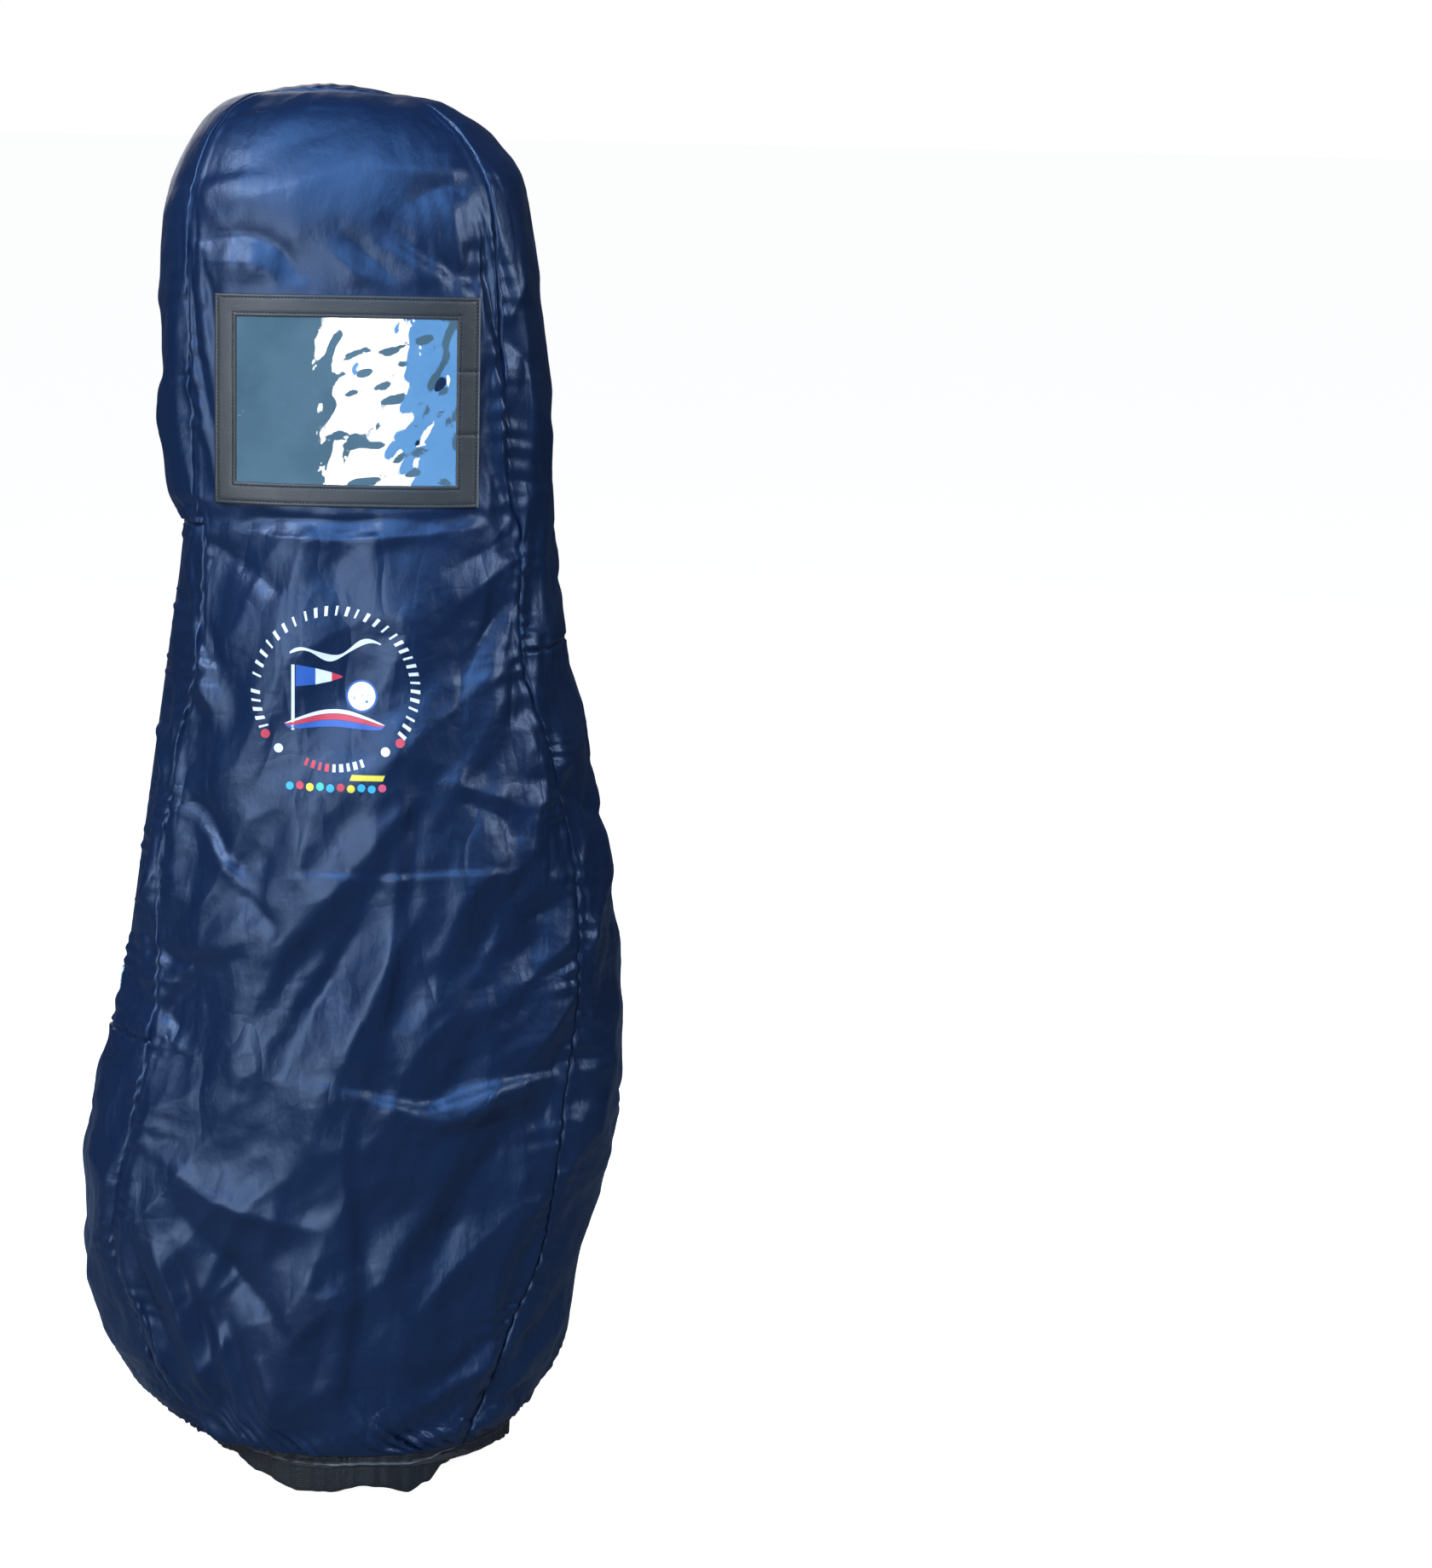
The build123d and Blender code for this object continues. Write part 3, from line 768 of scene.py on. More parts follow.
def crumple(points, facing):
    """Soft swells and straight-edged creases all over the cloth, drawn out along a slant."""
    noise.seed_set(CRUMPLE_SEED)  # or noise_vector would take its offset from the clock
    flat = points.reshape(-1, 3)
    low = 1 - step_up(flat[:, 2], 0.40, 0.95)
    slant = math.radians(58)
    cosine, sine = math.cos(slant), math.sin(slant)
    made = np.empty(len(flat))
    for i, (x, y, z) in enumerate(flat):
        at = Vector((x, y, z))
        at += noise.noise_vector(at * 7) * 0.022
        along, across = at.x * cosine + at.z * sine, -at.x * sine + at.z * cosine
        wide = noise.noise(Vector((along * 5, across * 13, at.y * 9)))
        big, _ = noise.voronoi(Vector((along * 8, across * 19, at.y * 15)))
        small, _ = noise.voronoi(Vector((along * 26, across * 44, at.y * 40)))
        made[i] = CRUMPLE_WIDE * wide + CRUMPLE_SLOPE * (big[0] / 19 + 0.45 * small[0] / 44)
    middle = CRUMPLE_SLOPE * (0.45 / 19 + 0.45 * 0.45 / 44)
    calm_front = 1 - 0.60 * step_up(flat[:, 2], 0.80, 0.90) * (facing.reshape(-1, 3)[:, 1] < -0.6)
    relief = (made - middle) * (0.6 + 0.6 * low) * calm_front
    return relief.reshape(points.shape[:-1])


def window_clear(points, facing):
    """1 away from the window and 0 behind it, where the cloth lies flat."""
    x, z = points[..., 0], points[..., 2]
    low, high = WINDOW
    outside = np.maximum.reduce([low.x - x, x - high.x, low.z - z, z - high.z])
    return np.where(facing[..., 1] < 0, step_up(outside, 0.002, 0.016), 1.0)


def relieved(cloth_points):
    """The finished body and crown grids: refined, with seams, puckers, gathers and folds."""
    start_body, start_patch = (refine_both(g, c) for g, c in zip(split(cover_points), (True, False)))
    x, y, z = (cover_points[:, [k]] for k in range(3))
    calm = step_up(z, 1.02, 1.13) * 0.85
    by_zip = (x < 0) * (1 - step_up(np.abs(y), 0.014, 0.036))
    by_zip = by_zip * step_up(z, ZIP_LOW[2] - 0.02, ZIP_LOW[2]) * (1 - step_up(z, ZIP_HIGH[2], ZIP_HIGH[2] + 0.02))
    calm = np.maximum(calm, by_zip)
    cloth_points = cloth_points + (cover_points - cloth_points) * calm
    body, patch = (refine_both(g, c) for g, c in zip(split(cloth_points), (True, False)))
    edge_patch(patch, body[-1], REFINE)
    steps = np.linalg.norm(np.roll(start_body, -1, 1) - start_body, axis=2)
    around = np.concatenate([np.zeros((len(body), 1)), np.cumsum(steps, axis=1)[:, :-1]], axis=1)
    total = steps.sum(axis=1, keepdims=True)
    rise = np.linalg.norm(np.diff(start_body[:, FRONT_CELLS * REFINE // 2], axis=0), axis=1)
    up = np.concatenate([[0], np.cumsum(rise)])
    heights = start_body[:, 0, 2]
    facing = normals_of(start_body, True)
    relief = seam_relief(around, total, heights, COLUMNS)
    relief += cross_seam_relief(around, total, heights)
    relief += gather_relief(around, heights)
    folds = crumple(start_body, facing)
    for fold in FOLDS + spare_folds():
        folds += fold_relief(fold, start_body, facing)
    seam_gap = np.full_like(around, 1.0)
    for column in SEAM_COLUMNS.values():
        gap = around - around[:, [column * REFINE]]
        gap = np.abs((gap + total / 2) % total - total / 2)
        seam_gap = np.minimum(seam_gap, gap)
    folds *= 0.3 + 0.7 * step_up(seam_gap, 0.0, 0.018)
    folds *= step_up(heights - heights[0], 0.002, 0.03)[:, None]
    folds *= 1 - step_up(np.arange(len(body)), len(body) - 14, len(body) - 1)[:, None]
    middle = (around[:, [slit[0] * REFINE]] + around[:, [slit[1] * REFINE]]) / 2
    zip_on = step_up(heights, ZIP_LOW[2] - 0.015, ZIP_LOW[2]) * (
        1 - step_up(heights, ZIP_HIGH[2], ZIP_HIGH[2] + 0.015)
    )
    folds *= 1 - zip_on[:, None] * (1 - step_up(np.abs(around - middle), 0.008, 0.03))
    relief = (relief + np.clip(folds, -FOLD_LIMIT, FOLD_RISE)) * window_clear(start_body, facing)
    body = body + normals_of(body, True) * relief[..., None]
    edge_patch(patch, body[-1], REFINE)
    flat = normals_of(patch, False)
    inner = np.zeros(patch.shape[:2])
    inner[3:-3, 3:-3] = 1
    ripple = np.sin(wander(patch[..., 0], 151, 0.012, 0.02)) * PUCKER * 0.15
    patch = patch + flat * (ripple * inner)[..., None]
    return body, patch, around, up


def panel(name, grid, places, nodes, flat, area, open_rows=None):
    """One panel of the cover: a sheet from a grid of points, in UV metres."""
    high, wide = grid.shape[:2]
    number = np.arange(high * wide).reshape(high, wide)
    corners = (number[:-1, :-1], number[:-1, 1:], number[1:, 1:], number[1:, :-1])
    faces = np.stack([c.ravel() for c in corners], axis=1)
    if open_rows is not None:  # the zip's slit, in the panel's first columns
        kept = np.ones((high - 1, wide - 1), bool)
        kept[open_rows[0] : open_rows[1], :REFINE] = False
        faces = faces[kept.ravel()]
    used, faces = np.unique(faces, return_inverse=True)
    made = new_object(name, grid.reshape(-1, 3)[used], faces.reshape(-1, 4).tolist())
    layer = made.data.uv_layers.new(name="cloth")
    corner = np.array([loop.vertex_index for loop in made.data.loops])
    layer.data.foreach_set("uv", places.reshape(-1, 2)[used][corner].ravel())
    made.data.materials.append(navy_nylon)
    solid = made.modifiers.new("thickness", "SOLIDIFY")
    solid.thickness = CLOTH_THICK
    solid.offset = -1
    apply_modifiers(made)
    made.data.set_sharp_from_angle(angle=math.radians(65))
    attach(made, "cover")
    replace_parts(made, *nodes)
    return made


def cut(body, around, up, rows, columns):
    """The grid and UV places of a range of rows and columns, which may pass the last."""
    picked = np.arange(columns[0], columns[1] + 1)
    wrapped = picked % body.shape[1]
    span = around[:, wrapped] + np.where(picked >= body.shape[1], 1, 0) * (
        around[:, [-1]] + np.linalg.norm(body[:, [0]] - body[:, [-1]], axis=2)
    )
    r = slice(rows[0], rows[1] + 1)
    u = span[r] - span[r].mean(axis=1, keepdims=True)
    v = np.broadcast_to(up[r][:, None], u.shape)
    return body[r][:, wrapped], np.stack([u, v], axis=2)


def stitches(name, lines, material, body="cover", pitch=0.0028, long=0.0021, thick=0.00026):
    """Rows of sewn stitches: small rounded threads along lines of points and normals."""
    ring_count, sides = 5, 6
    vertices, faces = [], []
    for points, outs in lines:
        points, outs = np.asarray(points, float), np.asarray(outs, float)
        gone = np.concatenate([[0], np.cumsum(np.linalg.norm(np.diff(points, axis=0), axis=1))])
        for middle in np.arange(pitch / 2, gone[-1] - pitch / 3, pitch):
            at = [np.interp(middle + s * long / 2, gone, points[:, k]) for s in (-1, 1) for k in range(3)]
            a, b = np.array(at[:3]), np.array(at[3:])
            out = np.array([np.interp(middle, gone, outs[:, k]) for k in range(3)])
            way = (b - a) / max(np.linalg.norm(b - a), 1e-9)
            side = np.cross(way, out)
            side /= max(np.linalg.norm(side), 1e-9)
            out = np.cross(side, way)
            base = len(vertices)
            for k in range(ring_count):
                t = k / (ring_count - 1)
                fat = thick * (0.35 + 0.65 * math.sin(math.pi * t))
                dip = out * thick * (0.9 * math.sin(math.pi * t) - 0.5)
                for j in range(sides):
                    turn = 2 * math.pi * j / sides
                    vertices.append(
                        a + (b - a) * t + dip + (side * math.cos(turn) + out * math.sin(turn)) * fat
                    )
            for k in range(ring_count - 1):
                for j in range(sides):
                    n = (j + 1) % sides
                    p, q = base + k * sides, base + (k + 1) * sides
                    faces.append((p + j, p + n, q + n, q + j))
            faces.append(tuple(base + j for j in range(sides))[::-1])
            faces.append(tuple(base + (ring_count - 1) * sides + j for j in range(sides)))
    made = new_object(name, vertices, faces)
    made.data.materials.append(material)
    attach(made, body)
    return made


# ---------------------------------------------------------------- materials


def principled(name, base, roughness, **values):
    """A material whose one shader has these values on its own sockets."""
    made = bpy.data.materials.new(name)
    made.use_nodes = True
    shader = made.node_tree.nodes["Principled BSDF"]
    shader.inputs["Base Color"].default_value = (*base, 1)
    shader.inputs["Roughness"].default_value = roughness
    for socket, value in values.items():
        place = shader.inputs[socket.replace("_", " ")]
        place.default_value = (*value, 1) if isinstance(value, tuple) else value
    return made


def node(made, kind, inputs=None, **settings):
    """A new node; an input is a number, a tuple or another node's output."""
    new = made.node_tree.nodes.new(kind)
    for key, value in settings.items():
        setattr(new, key, value)
    for key, value in (inputs or {}).items():
        if isinstance(value, bpy.types.NodeSocket):
            made.node_tree.links.new(value, new.inputs[key])
        else:
            new.inputs[key].default_value = value
    return new


def placed(made, scale, source="Object", turn=(0, 0, 0)):
    """Texture coordinates, scaled and turned."""
    at = node(made, "ShaderNodeTexCoord")
    return node(
        made,
        "ShaderNodeMapping",
        {"Vector": at.outputs[source], "Scale": scale, "Rotation": turn},
    ).outputs["Vector"]


def noise_of(made, scale, detail=3.0, roughness=0.55, stretch=(1, 1, 1), turn=(0, 0, 0), source="Object"):
    vector = placed(made, stretch, source, turn)
    values = {"Vector": vector, "Scale": scale, "Detail": detail, "Roughness": roughness}
    return node(made, "ShaderNodeTexNoise", values).outputs["Fac"]


def waves_of(made, scale, direction, stretch=(1, 1, 1), source="UV", distortion=0.0):
    vector = placed(made, stretch, source)
    values = {"Vector": vector, "Scale": scale, "Distortion": distortion}
    return node(
        made, "ShaderNodeTexWave", values, wave_type="BANDS", bands_direction=direction
    ).outputs["Fac"]


def scaled(made, value, low, high):
    """A 0 to 1 value brought to low to high."""
    values = {"Value": value, "To Min": low, "To Max": high}
    return node(made, "ShaderNodeMapRange", values).outputs["Result"]


def sums(made, a, b, operation="ADD"):
    return node(made, "ShaderNodeMath", {0: a, 1: b}, operation=operation).outputs[0]


def creases_of(made, scale, stretch, turn, wide):
    """Sharp creases: valleys along the lines where a noise passes its middle value."""
    raw = noise_of(made, scale, 2.5, 0.5, stretch, turn)
    away = sums(made, sums(made, raw, 0.5, "SUBTRACT"), 0.0, "ABSOLUTE")
    return node(made, "ShaderNodeMapRange", {"Value": away, "From Max": wide}).outputs["Result"]


def below(made, low, high):
    """1 below one height and 0 above another."""
    parts = node(made, "ShaderNodeSeparateXYZ", {"Vector": placed(made, (1, 1, 1))})
    values = {"Value": parts.outputs["Z"], "From Min": low, "From Max": high, "To Min": 1.0, "To Max": 0.0}
    return node(made, "ShaderNodeMapRange", values).outputs["Result"]


def bumped(made, steps):
    """A chain of bumps: each is a height, its distance in metres and its strength."""
    normal = None
    for height, distance, strength in steps:
        values = {"Height": height, "Distance": distance, "Strength": strength}
        if normal is not None:
            values["Normal"] = normal
        normal = node(made, "ShaderNodeBump", values).outputs["Normal"]
    link(made, normal, "Normal")


def link(made, output, socket):
    made.node_tree.links.new(output, made.node_tree.nodes["Principled BSDF"].inputs[socket])


def mixed(made, factor, first, second):
    """A colour between two, by a factor."""
    blend = node(made, "ShaderNodeMix", data_type="RGBA")
    made.node_tree.links.new(factor, blend.inputs["Factor"])
    for place, colour in zip((6, 7), (first, second)):
        if isinstance(colour, bpy.types.NodeSocket):
            made.node_tree.links.new(colour, blend.inputs[place])
        else:
            blend.inputs[place].default_value = (*colour, 1)
    return blend.outputs[2]


def make_nylon():
    """Dyed polyester taffeta: a fine plain weave with a soft shine and small crinkles."""
    made = principled(
        "navy_nylon",
        (0.006, 0.018, 0.065),
        0.42,
        Specular_IOR_Level=0.62,
        Specular_Tint=(0.50, 0.68, 1.0),
        Sheen_Weight=0.05,
        Sheen_Roughness=0.35,
        Sheen_Tint=(0.55, 0.62, 1.0),
    )
    tone = noise_of(made, 7.0, 4.0)
    warp = waves_of(made, 420, "X")
    weft = waves_of(made, 420, "Y")
    weave = sums(made, warp, weft, "MULTIPLY")
    deep = mixed(made, tone, (0.0026, 0.0080, 0.0235), (0.0060, 0.0175, 0.0530))
    threads = mixed(made, scaled(made, weave, 0.0, 0.35), deep, (0.010, 0.025, 0.072))
    link(made, threads, "Base Color")
    shine = noise_of(made, 30.0, 3.0, 0.6)
    link(made, scaled(made, shine, 0.28, 0.42), "Roughness")
    crinkle = noise_of(made, 34.0, 4.0, 0.6, stretch=(1.4, 1.4, 0.8), turn=(0, math.radians(35), 0))
    small = noise_of(made, 110.0, 3.0, 0.6)
    long_creases = creases_of(made, 16.0, (1.3, 1.3, 0.42), (0, math.radians(32), 0), 0.10)
    cross_creases = creases_of(made, 21.0, (0.5, 1.2, 1.4), (0, math.radians(-18), 0), 0.08)
    below_hood = below(made, 0.80, 0.92)
    steps = [(crinkle, 0.0030, 0.30)]
    patches = scaled(made, noise_of(made, 5.0, 2.0), -0.9, 1.9)
    strength = sums(made, patches, below_hood, "MULTIPLY")
    steps += [(sums(made, long_creases, strength, "MULTIPLY"), 0.0022, 0.60)]
    steps += [(sums(made, cross_creases, strength, "MULTIPLY"), 0.0008, 0.40)]
    bumped(made, steps + [(small, 0.0007, 0.22), (weave, 0.00006, 0.5)])
    return made


def make_webbing():
    """Black ribbed knit of the hem's band."""
    made = principled("hem_webbing", (0.004, 0.005, 0.006), 0.6, Sheen_Weight=0.05, Sheen_Roughness=0.5)
    tone = noise_of(made, 22.0, 4.0)
    link(made, mixed(made, tone, (0.0025, 0.003, 0.004), (0.007, 0.009, 0.011)), "Base Color")
    ribs = waves_of(made, 260, "X")
    rows_of_knit = waves_of(made, 200, "Y")
    bumped(made, [(noise_of(made, 90.0), 0.0007, 0.5), (sums(made, ribs, rows_of_knit), 0.00016, 0.7)])
    link(made, scaled(made, noise_of(made, 60.0), 0.42, 0.68), "Roughness")
    return made


def make_leatherette(name="leatherette", low=(0.017, 0.018, 0.018), high=(0.040, 0.041, 0.042)):
    """Grey-black imitation leather with a fine pebble grain."""
    made = principled(name, low, 0.42, Specular_IOR_Level=0.5)
    tone = noise_of(made, 14.0, 4.0)
    link(made, mixed(made, tone, low, high), "Base Color")
    at = placed(made, (1, 1, 1))
    grain = node(made, "ShaderNodeTexVoronoi", {"Vector": at, "Scale": 900.0}).outputs["Distance"]
    link(made, scaled(made, noise_of(made, 120.0), 0.34, 0.54), "Roughness")
    bumped(made, [(noise_of(made, 70.0), 0.0005, 0.35), (grain, 0.00018, 0.55)])
    return made


def make_pvc():
    """Clear soft PVC: glossy and clear enough to show the cloth behind; its blue-green colour, clouded lighter and
    darker, is a faint tint of its own made much stronger as a painted reflection of sky and surroundings.
    """
    made = principled(
        "clear_pvc", (0.045, 0.085, 0.12), 0.035, IOR=1.52, Specular_IOR_Level=0.6, Coat_Weight=0.6, Coat_Roughness=0.02
    )
    painted_reflection_tone = noise_of(made, 11.0, 4.0, 0.6)
    # painted reflection: the sheet's colour drifts between dark teal and pale blue-green as if it mirrored sky and
    # surroundings
    link(made, mixed(made, painted_reflection_tone, (0.016, 0.042, 0.060), (0.100, 0.165, 0.195)), "Base Color")
    made.node_tree.nodes["Principled BSDF"].inputs["Alpha"].default_value = 0.80
    bumped(made, [(noise_of(made, 46.0, 3.0, 0.55), 0.0011, 0.5)])
    return made


def plain(name, base, roughness, grain=160.0, depth=0.0002, **values):
    """A moulded or spun finish: one colour with slight tone, gloss and surface grain."""
    made = principled(name, base, roughness, **values)
    tone = noise_of(made, 45.0, 3.0)
    darker = tuple(0.82 * c for c in base)
    link(made, mixed(made, tone, darker, base), "Base Color")
    link(made, scaled(made, noise_of(made, grain), roughness * 0.85, min(1.0, roughness * 1.2)), "Roughness")
    bumped(made, [(noise_of(made, grain * 2), depth, 0.4)])
    return made


def make_ink(name, base):
    """Screen print: opaque, slightly uneven, with the weave showing through."""
    made = principled(name, base, 0.5)
    tone = noise_of(made, 180.0, 4.0, 0.7)
    link(made, mixed(made, tone, tuple(0.78 * c for c in base), base), "Base Color")
    bumped(made, [(noise_of(made, 420.0), 0.0002, 0.4)])
    return made


def make_tape():
    """Zip tape: a tight navy weave with ribs along it."""
    made = principled("zip_tape", (0.014, 0.024, 0.06), 0.6, Sheen_Weight=0.2)
    tone = noise_of(made, 60.0)
    link(made, mixed(made, tone, (0.009, 0.017, 0.045), (0.02, 0.033, 0.08)), "Base Color")
    ribs = waves_of(made, 500, "Y", source="Object")
    bumped(made, [(ribs, 0.0002, 0.7), (noise_of(made, 700.0), 0.00015, 0.5)])
    return made


navy_nylon = make_nylon()
hem_webbing = make_webbing()
leatherette = make_leatherette()
# a lighter grey leatherette for the frame's right rim: a painted highlight along that edge
leather_edge_painted_highlight = make_leatherette("leatherette_edge_painted_highlight", (0.10, 0.11, 0.12), (0.17, 0.18, 0.19))
clear_pvc = make_pvc()
thread_black = plain("thread_black", (0.006, 0.007, 0.009), 0.5)
thread_navy = plain("thread_navy", (0.008, 0.014, 0.04), 0.5)
elastic = plain("elastic", (0.02, 0.02, 0.022), 0.7)
# light grey for the hem band's raised fold: a painted highlight along the fold, on a ridge that is really there
hem_ridge_painted_highlight = plain("hem_fold_painted_highlight", (0.06, 0.066, 0.07), 0.4)
hook_and_loop = plain("hook_and_loop", (0.012, 0.012, 0.014), 0.85, 900.0, 0.0006)
zip_tape = make_tape()
zip_nylon = plain("zip_nylon", (0.012, 0.02, 0.05), 0.35)
zip_slider = plain("zip_slider", (0.012, 0.018, 0.035), 0.3, Coat_Weight=0.4, Coat_Roughness=0.15)
zip_pull = plain("zip_pull", (0.72, 0.84, 0.86), 0.32, Coat_Weight=0.25, Coat_Roughness=0.2)
INKS = {
    "white": (0.80, 0.82, 0.84),
    "red": (0.62, 0.045, 0.075),
    "blue": (0.025, 0.11, 0.42),
    "yellow": (0.85, 0.70, 0.06),
    "cyan": (0.03, 0.42, 0.70),
    "pink": (0.72, 0.09, 0.17),
    "green": (0.05, 0.55, 0.42),
}
ink = {name: make_ink(f"ink_{name}", base) for name, base in INKS.items()}


# ---------------------------------------------------------------- the panels

cloth = new_object("cloth", cover_points, cover_faces)
simulate(cloth)
draped = coordinates(cloth.data)
bpy.data.objects.remove(cloth)
body, patch, around, up = relieved(draped)

LAST = len(body) - 1
FRONT = (0, FRONT_CELLS * REFINE)
RIGHT = (FRONT[1], SEAM_COLUMNS["back_right"] * REFINE)
BACK = (RIGHT[1], SEAM_COLUMNS["back_left"] * REFINE)
LEFT = (BACK[1], COLUMNS * REFINE)
SLIT_BACK, SLIT_FRONT = (c * REFINE for c in slit)


def row_at(height):
    """The row nearest a height."""
    return REFINE * int(np.argmin(np.abs(row_z - height)))


Z_RIGHT = row_at(SEAM_HEIGHTS["right"])
Z_LEFT = (row_at(SEAM_HEIGHTS["left_bottom"]), row_at(SEAM_HEIGHTS["left_top"]))
# Name, rows, columns, the CAD nodes it stands for, and its cut size: width, length, area
PANELS = [
    ("cover_front", (0, LAST), FRONT, ["front_panel"], (0.40, 1.21), 0.385),
    ("cover_back", (0, LAST), BACK, ["back_panel"], (0.40, 1.21), 0.385),
    ("cover_right_upper", (Z_RIGHT, LAST), RIGHT, ["right_gusset_upper"], (0.165, 0.51), 0.067),
    ("cover_right_lower", (0, Z_RIGHT), RIGHT, ["right_gusset_lower"], (0.225, 0.70), 0.130),
    ("cover_left_upper", (Z_LEFT[1], LAST), LEFT, ["left_gusset_upper"], (0.155, 0.41), 0.051),
    ("cover_left_lower", (0, Z_LEFT[0]), LEFT, ["left_gusset_lower"], (0.225, 0.36), 0.080),
]
for name, rows_cut, columns_cut, nodes, flat, area in PANELS:
    grid, places = cut(body, around, up, rows_cut, columns_cut)
    panel(name, grid, places, nodes, flat, area)
OPEN = (REFINE * zip_rows[0] - Z_LEFT[0], REFINE * zip_rows[-1] - Z_LEFT[0])
for name, columns_cut, nodes, open_rows in (
    ("cover_zip_back", (LEFT[0], SLIT_BACK), ["left_gusset_zip_back", "zip_flap_back"], None),
    ("cover_zip_front", (SLIT_BACK, LEFT[1]), ["left_gusset_zip_front", "zip_flap_front"], OPEN),
):
    grid, places = cut(body, around, up, Z_LEFT, columns_cut)
    panel(name, grid, places, nodes, (0.090, 0.445), 0.033, open_rows)
places = np.stack(np.meshgrid(np.arange(patch.shape[1]) * 0.0012, np.arange(patch.shape[0]) * 0.0006), axis=2)
panel("crown_strip", patch, places, ["top_gusset"], (0.118, 0.045), 0.0043)


# ---------------------------------------------------------------- the hem band


def band(name, radius_of, profile, material, flat, spare=None):
    """A ring band: profile lists (inward, height at an angle)."""
    turns = np.linspace(0, 2 * np.pi, HEM_STEPS, endpoint=False)
    vertices, places = [], []
    for k, (inward, height) in enumerate(profile):
        for angle in turns:
            radius = radius_of(angle, k / (len(profile) - 1)) - inward
            z = height(angle) if callable(height) else height
            vertices.append((radius * math.sin(angle), -radius * math.cos(angle), z))
            places.append((angle * radius, z - inward))
    faces = []
    for k in range(len(profile) - 1):
        for j in range(HEM_STEPS):
            n = (j + 1) % HEM_STEPS
            faces.append((k * HEM_STEPS + j, (k + 1) * HEM_STEPS + j, (k + 1) * HEM_STEPS + n, k * HEM_STEPS + n))
    made = new_object(name, vertices, faces)
    layer = made.data.uv_layers.new(name="cloth")
    corner = [loop.vertex_index for loop in made.data.loops]
    layer.data.foreach_set("uv", np.array(places)[corner].ravel())
    made.data.materials.append(material)
    return made


HEM_STEPS = 540
HEM_RADIUS = 0.1330
HEM_TOP = 0.0375
# How far the hem's lower edge hangs short of the floor, by the angle round from the front
HEM_EDGE = [
    (-180, 10), (-150, 4), (-128, 11), (-104, 5), (-84, 12), (-66, 16), (-50, 21), (-38, 12), (-20, 0.5),
    (-8, 2), (6, 9), (13, 7), (23, 0.5), (31, 7), (38, 20), (45, 28), (60, 27), (80, 19), (100, 9), (122, 13), (150, 3), (180, 10),
]


def hem_low(angle):
    """Height of the hem's lower edge at an angle round from the front."""
    turn = np.degrees((angle + np.pi) % (2 * np.pi) - np.pi)
    degrees, rise = (np.array(v, float) for v in zip(*HEM_EDGE))
    i = int(np.clip(np.searchsorted(degrees, turn) - 1, 0, len(degrees) - 2))
    t = (turn - degrees[i]) / (degrees[i + 1] - degrees[i])
    t = t * t * (3 - 2 * t)
    return (rise[i] * (1 - t) + rise[i + 1] * t) / 1000


def hem_radius(angle, down):
    """The band's ripples: small gathers from the elastic, and the wider scallops."""
    gather = math.sin(46 * angle + 1.5 * math.sin(5 * angle)) + 0.5 * math.sin(83 * angle)
    wide = math.sin(7 * angle + 0.6)
    return HEM_RADIUS - 0.0012 + 0.00055 * gather + 0.0016 * wide * (0.3 + 0.7 * min(down * 1.6, 1))


def hem_at(share):
    """A height between the lower edge, 0, and the top, 1."""
    return lambda angle: hem_low(angle) + (HEM_TOP - hem_low(angle)) * share


hem_profile = [(0.0034, HEM_TOP - 0.002), (0.0022, HEM_TOP), (0.0008, HEM_TOP - 0.0006)]
hem_profile += [(0.0002, hem_at(s)) for s in (0.90, 0.80, 0.74)]
hem_profile += [(-0.0001, hem_at(0.728)), (-0.0007, hem_at(0.715)), (-0.0009, hem_at(0.70))]
hem_profile += [(-0.0007, hem_at(0.685)), (-0.0001, hem_at(0.672)), (0.0003, hem_at(0.66))]
hem_profile += [(0.0001 * k, hem_at(s)) for k, s in enumerate((0.58, 0.46, 0.34, 0.22, 0.12, 0.06))]
hem_profile += [(0.0010, hem_at(0.02)), (0.0020, hem_at(0.0)), (0.0030, hem_at(0.02))]
hem_profile += [(0.0034, hem_at(s)) for s in (0.08, 0.3, 0.6, 0.9)]
hem = band("hem_band_gathered", hem_radius, hem_profile, hem_webbing, (0.85, 0.07))
# the rows of the raised fold take the light grey: a painted highlight along it
hem.data.materials.append(hem_ridge_painted_highlight)
for face in hem.data.polygons:
    if 5 <= face.index // HEM_STEPS <= 10:
        face.material_index = 1
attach(hem, "cover")
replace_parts(hem, "hem_band")


def elastic_radius(angle, down):
    return HEM_RADIUS - 0.0017 + 0.0003 * math.sin(46 * angle)


elastic_ring = band(
    "hem_elastic_band",
    elastic_radius,
    [(0.0, 0.024), (0.0, 0.030), (0.0007, 0.030), (0.0007, 0.024), (0.0, 0.024)],
    elastic,
    (0.82, 0.006),
)
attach(elastic_ring, "cover")
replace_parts(elastic_ring, "hem_elastic")


# ---------------------------------------------------------------- the window


def front_y(x, z):
    """The cover's front surface before it was draped."""
    s = smooth_station(z)
    mid_x, mid_y = (s.left + s.right) / 2, (s.front + s.back) / 2
    half_x, half_y = (s.right - s.left) / 2, (s.back - s.front) / 2
    share = min(abs((x - mid_x) / half_x), 0.999) ** s.square
    return mid_y - half_y * (1 - share) ** (1 / s.square)


def front_place(x, z, outset):
    """A point over the front surface, and the way out from it."""
    step = 0.002
    slope_x = (front_y(x + step, z) - front_y(x - step, z)) / (2 * step)
    slope_z = (front_y(x, z + step) - front_y(x, z - step)) / (2 * step)
    out = np.array([slope_x, -1.0, slope_z])
    out /= np.linalg.norm(out)
    return np.array([x, front_y(x, z), z]) + out * outset, out


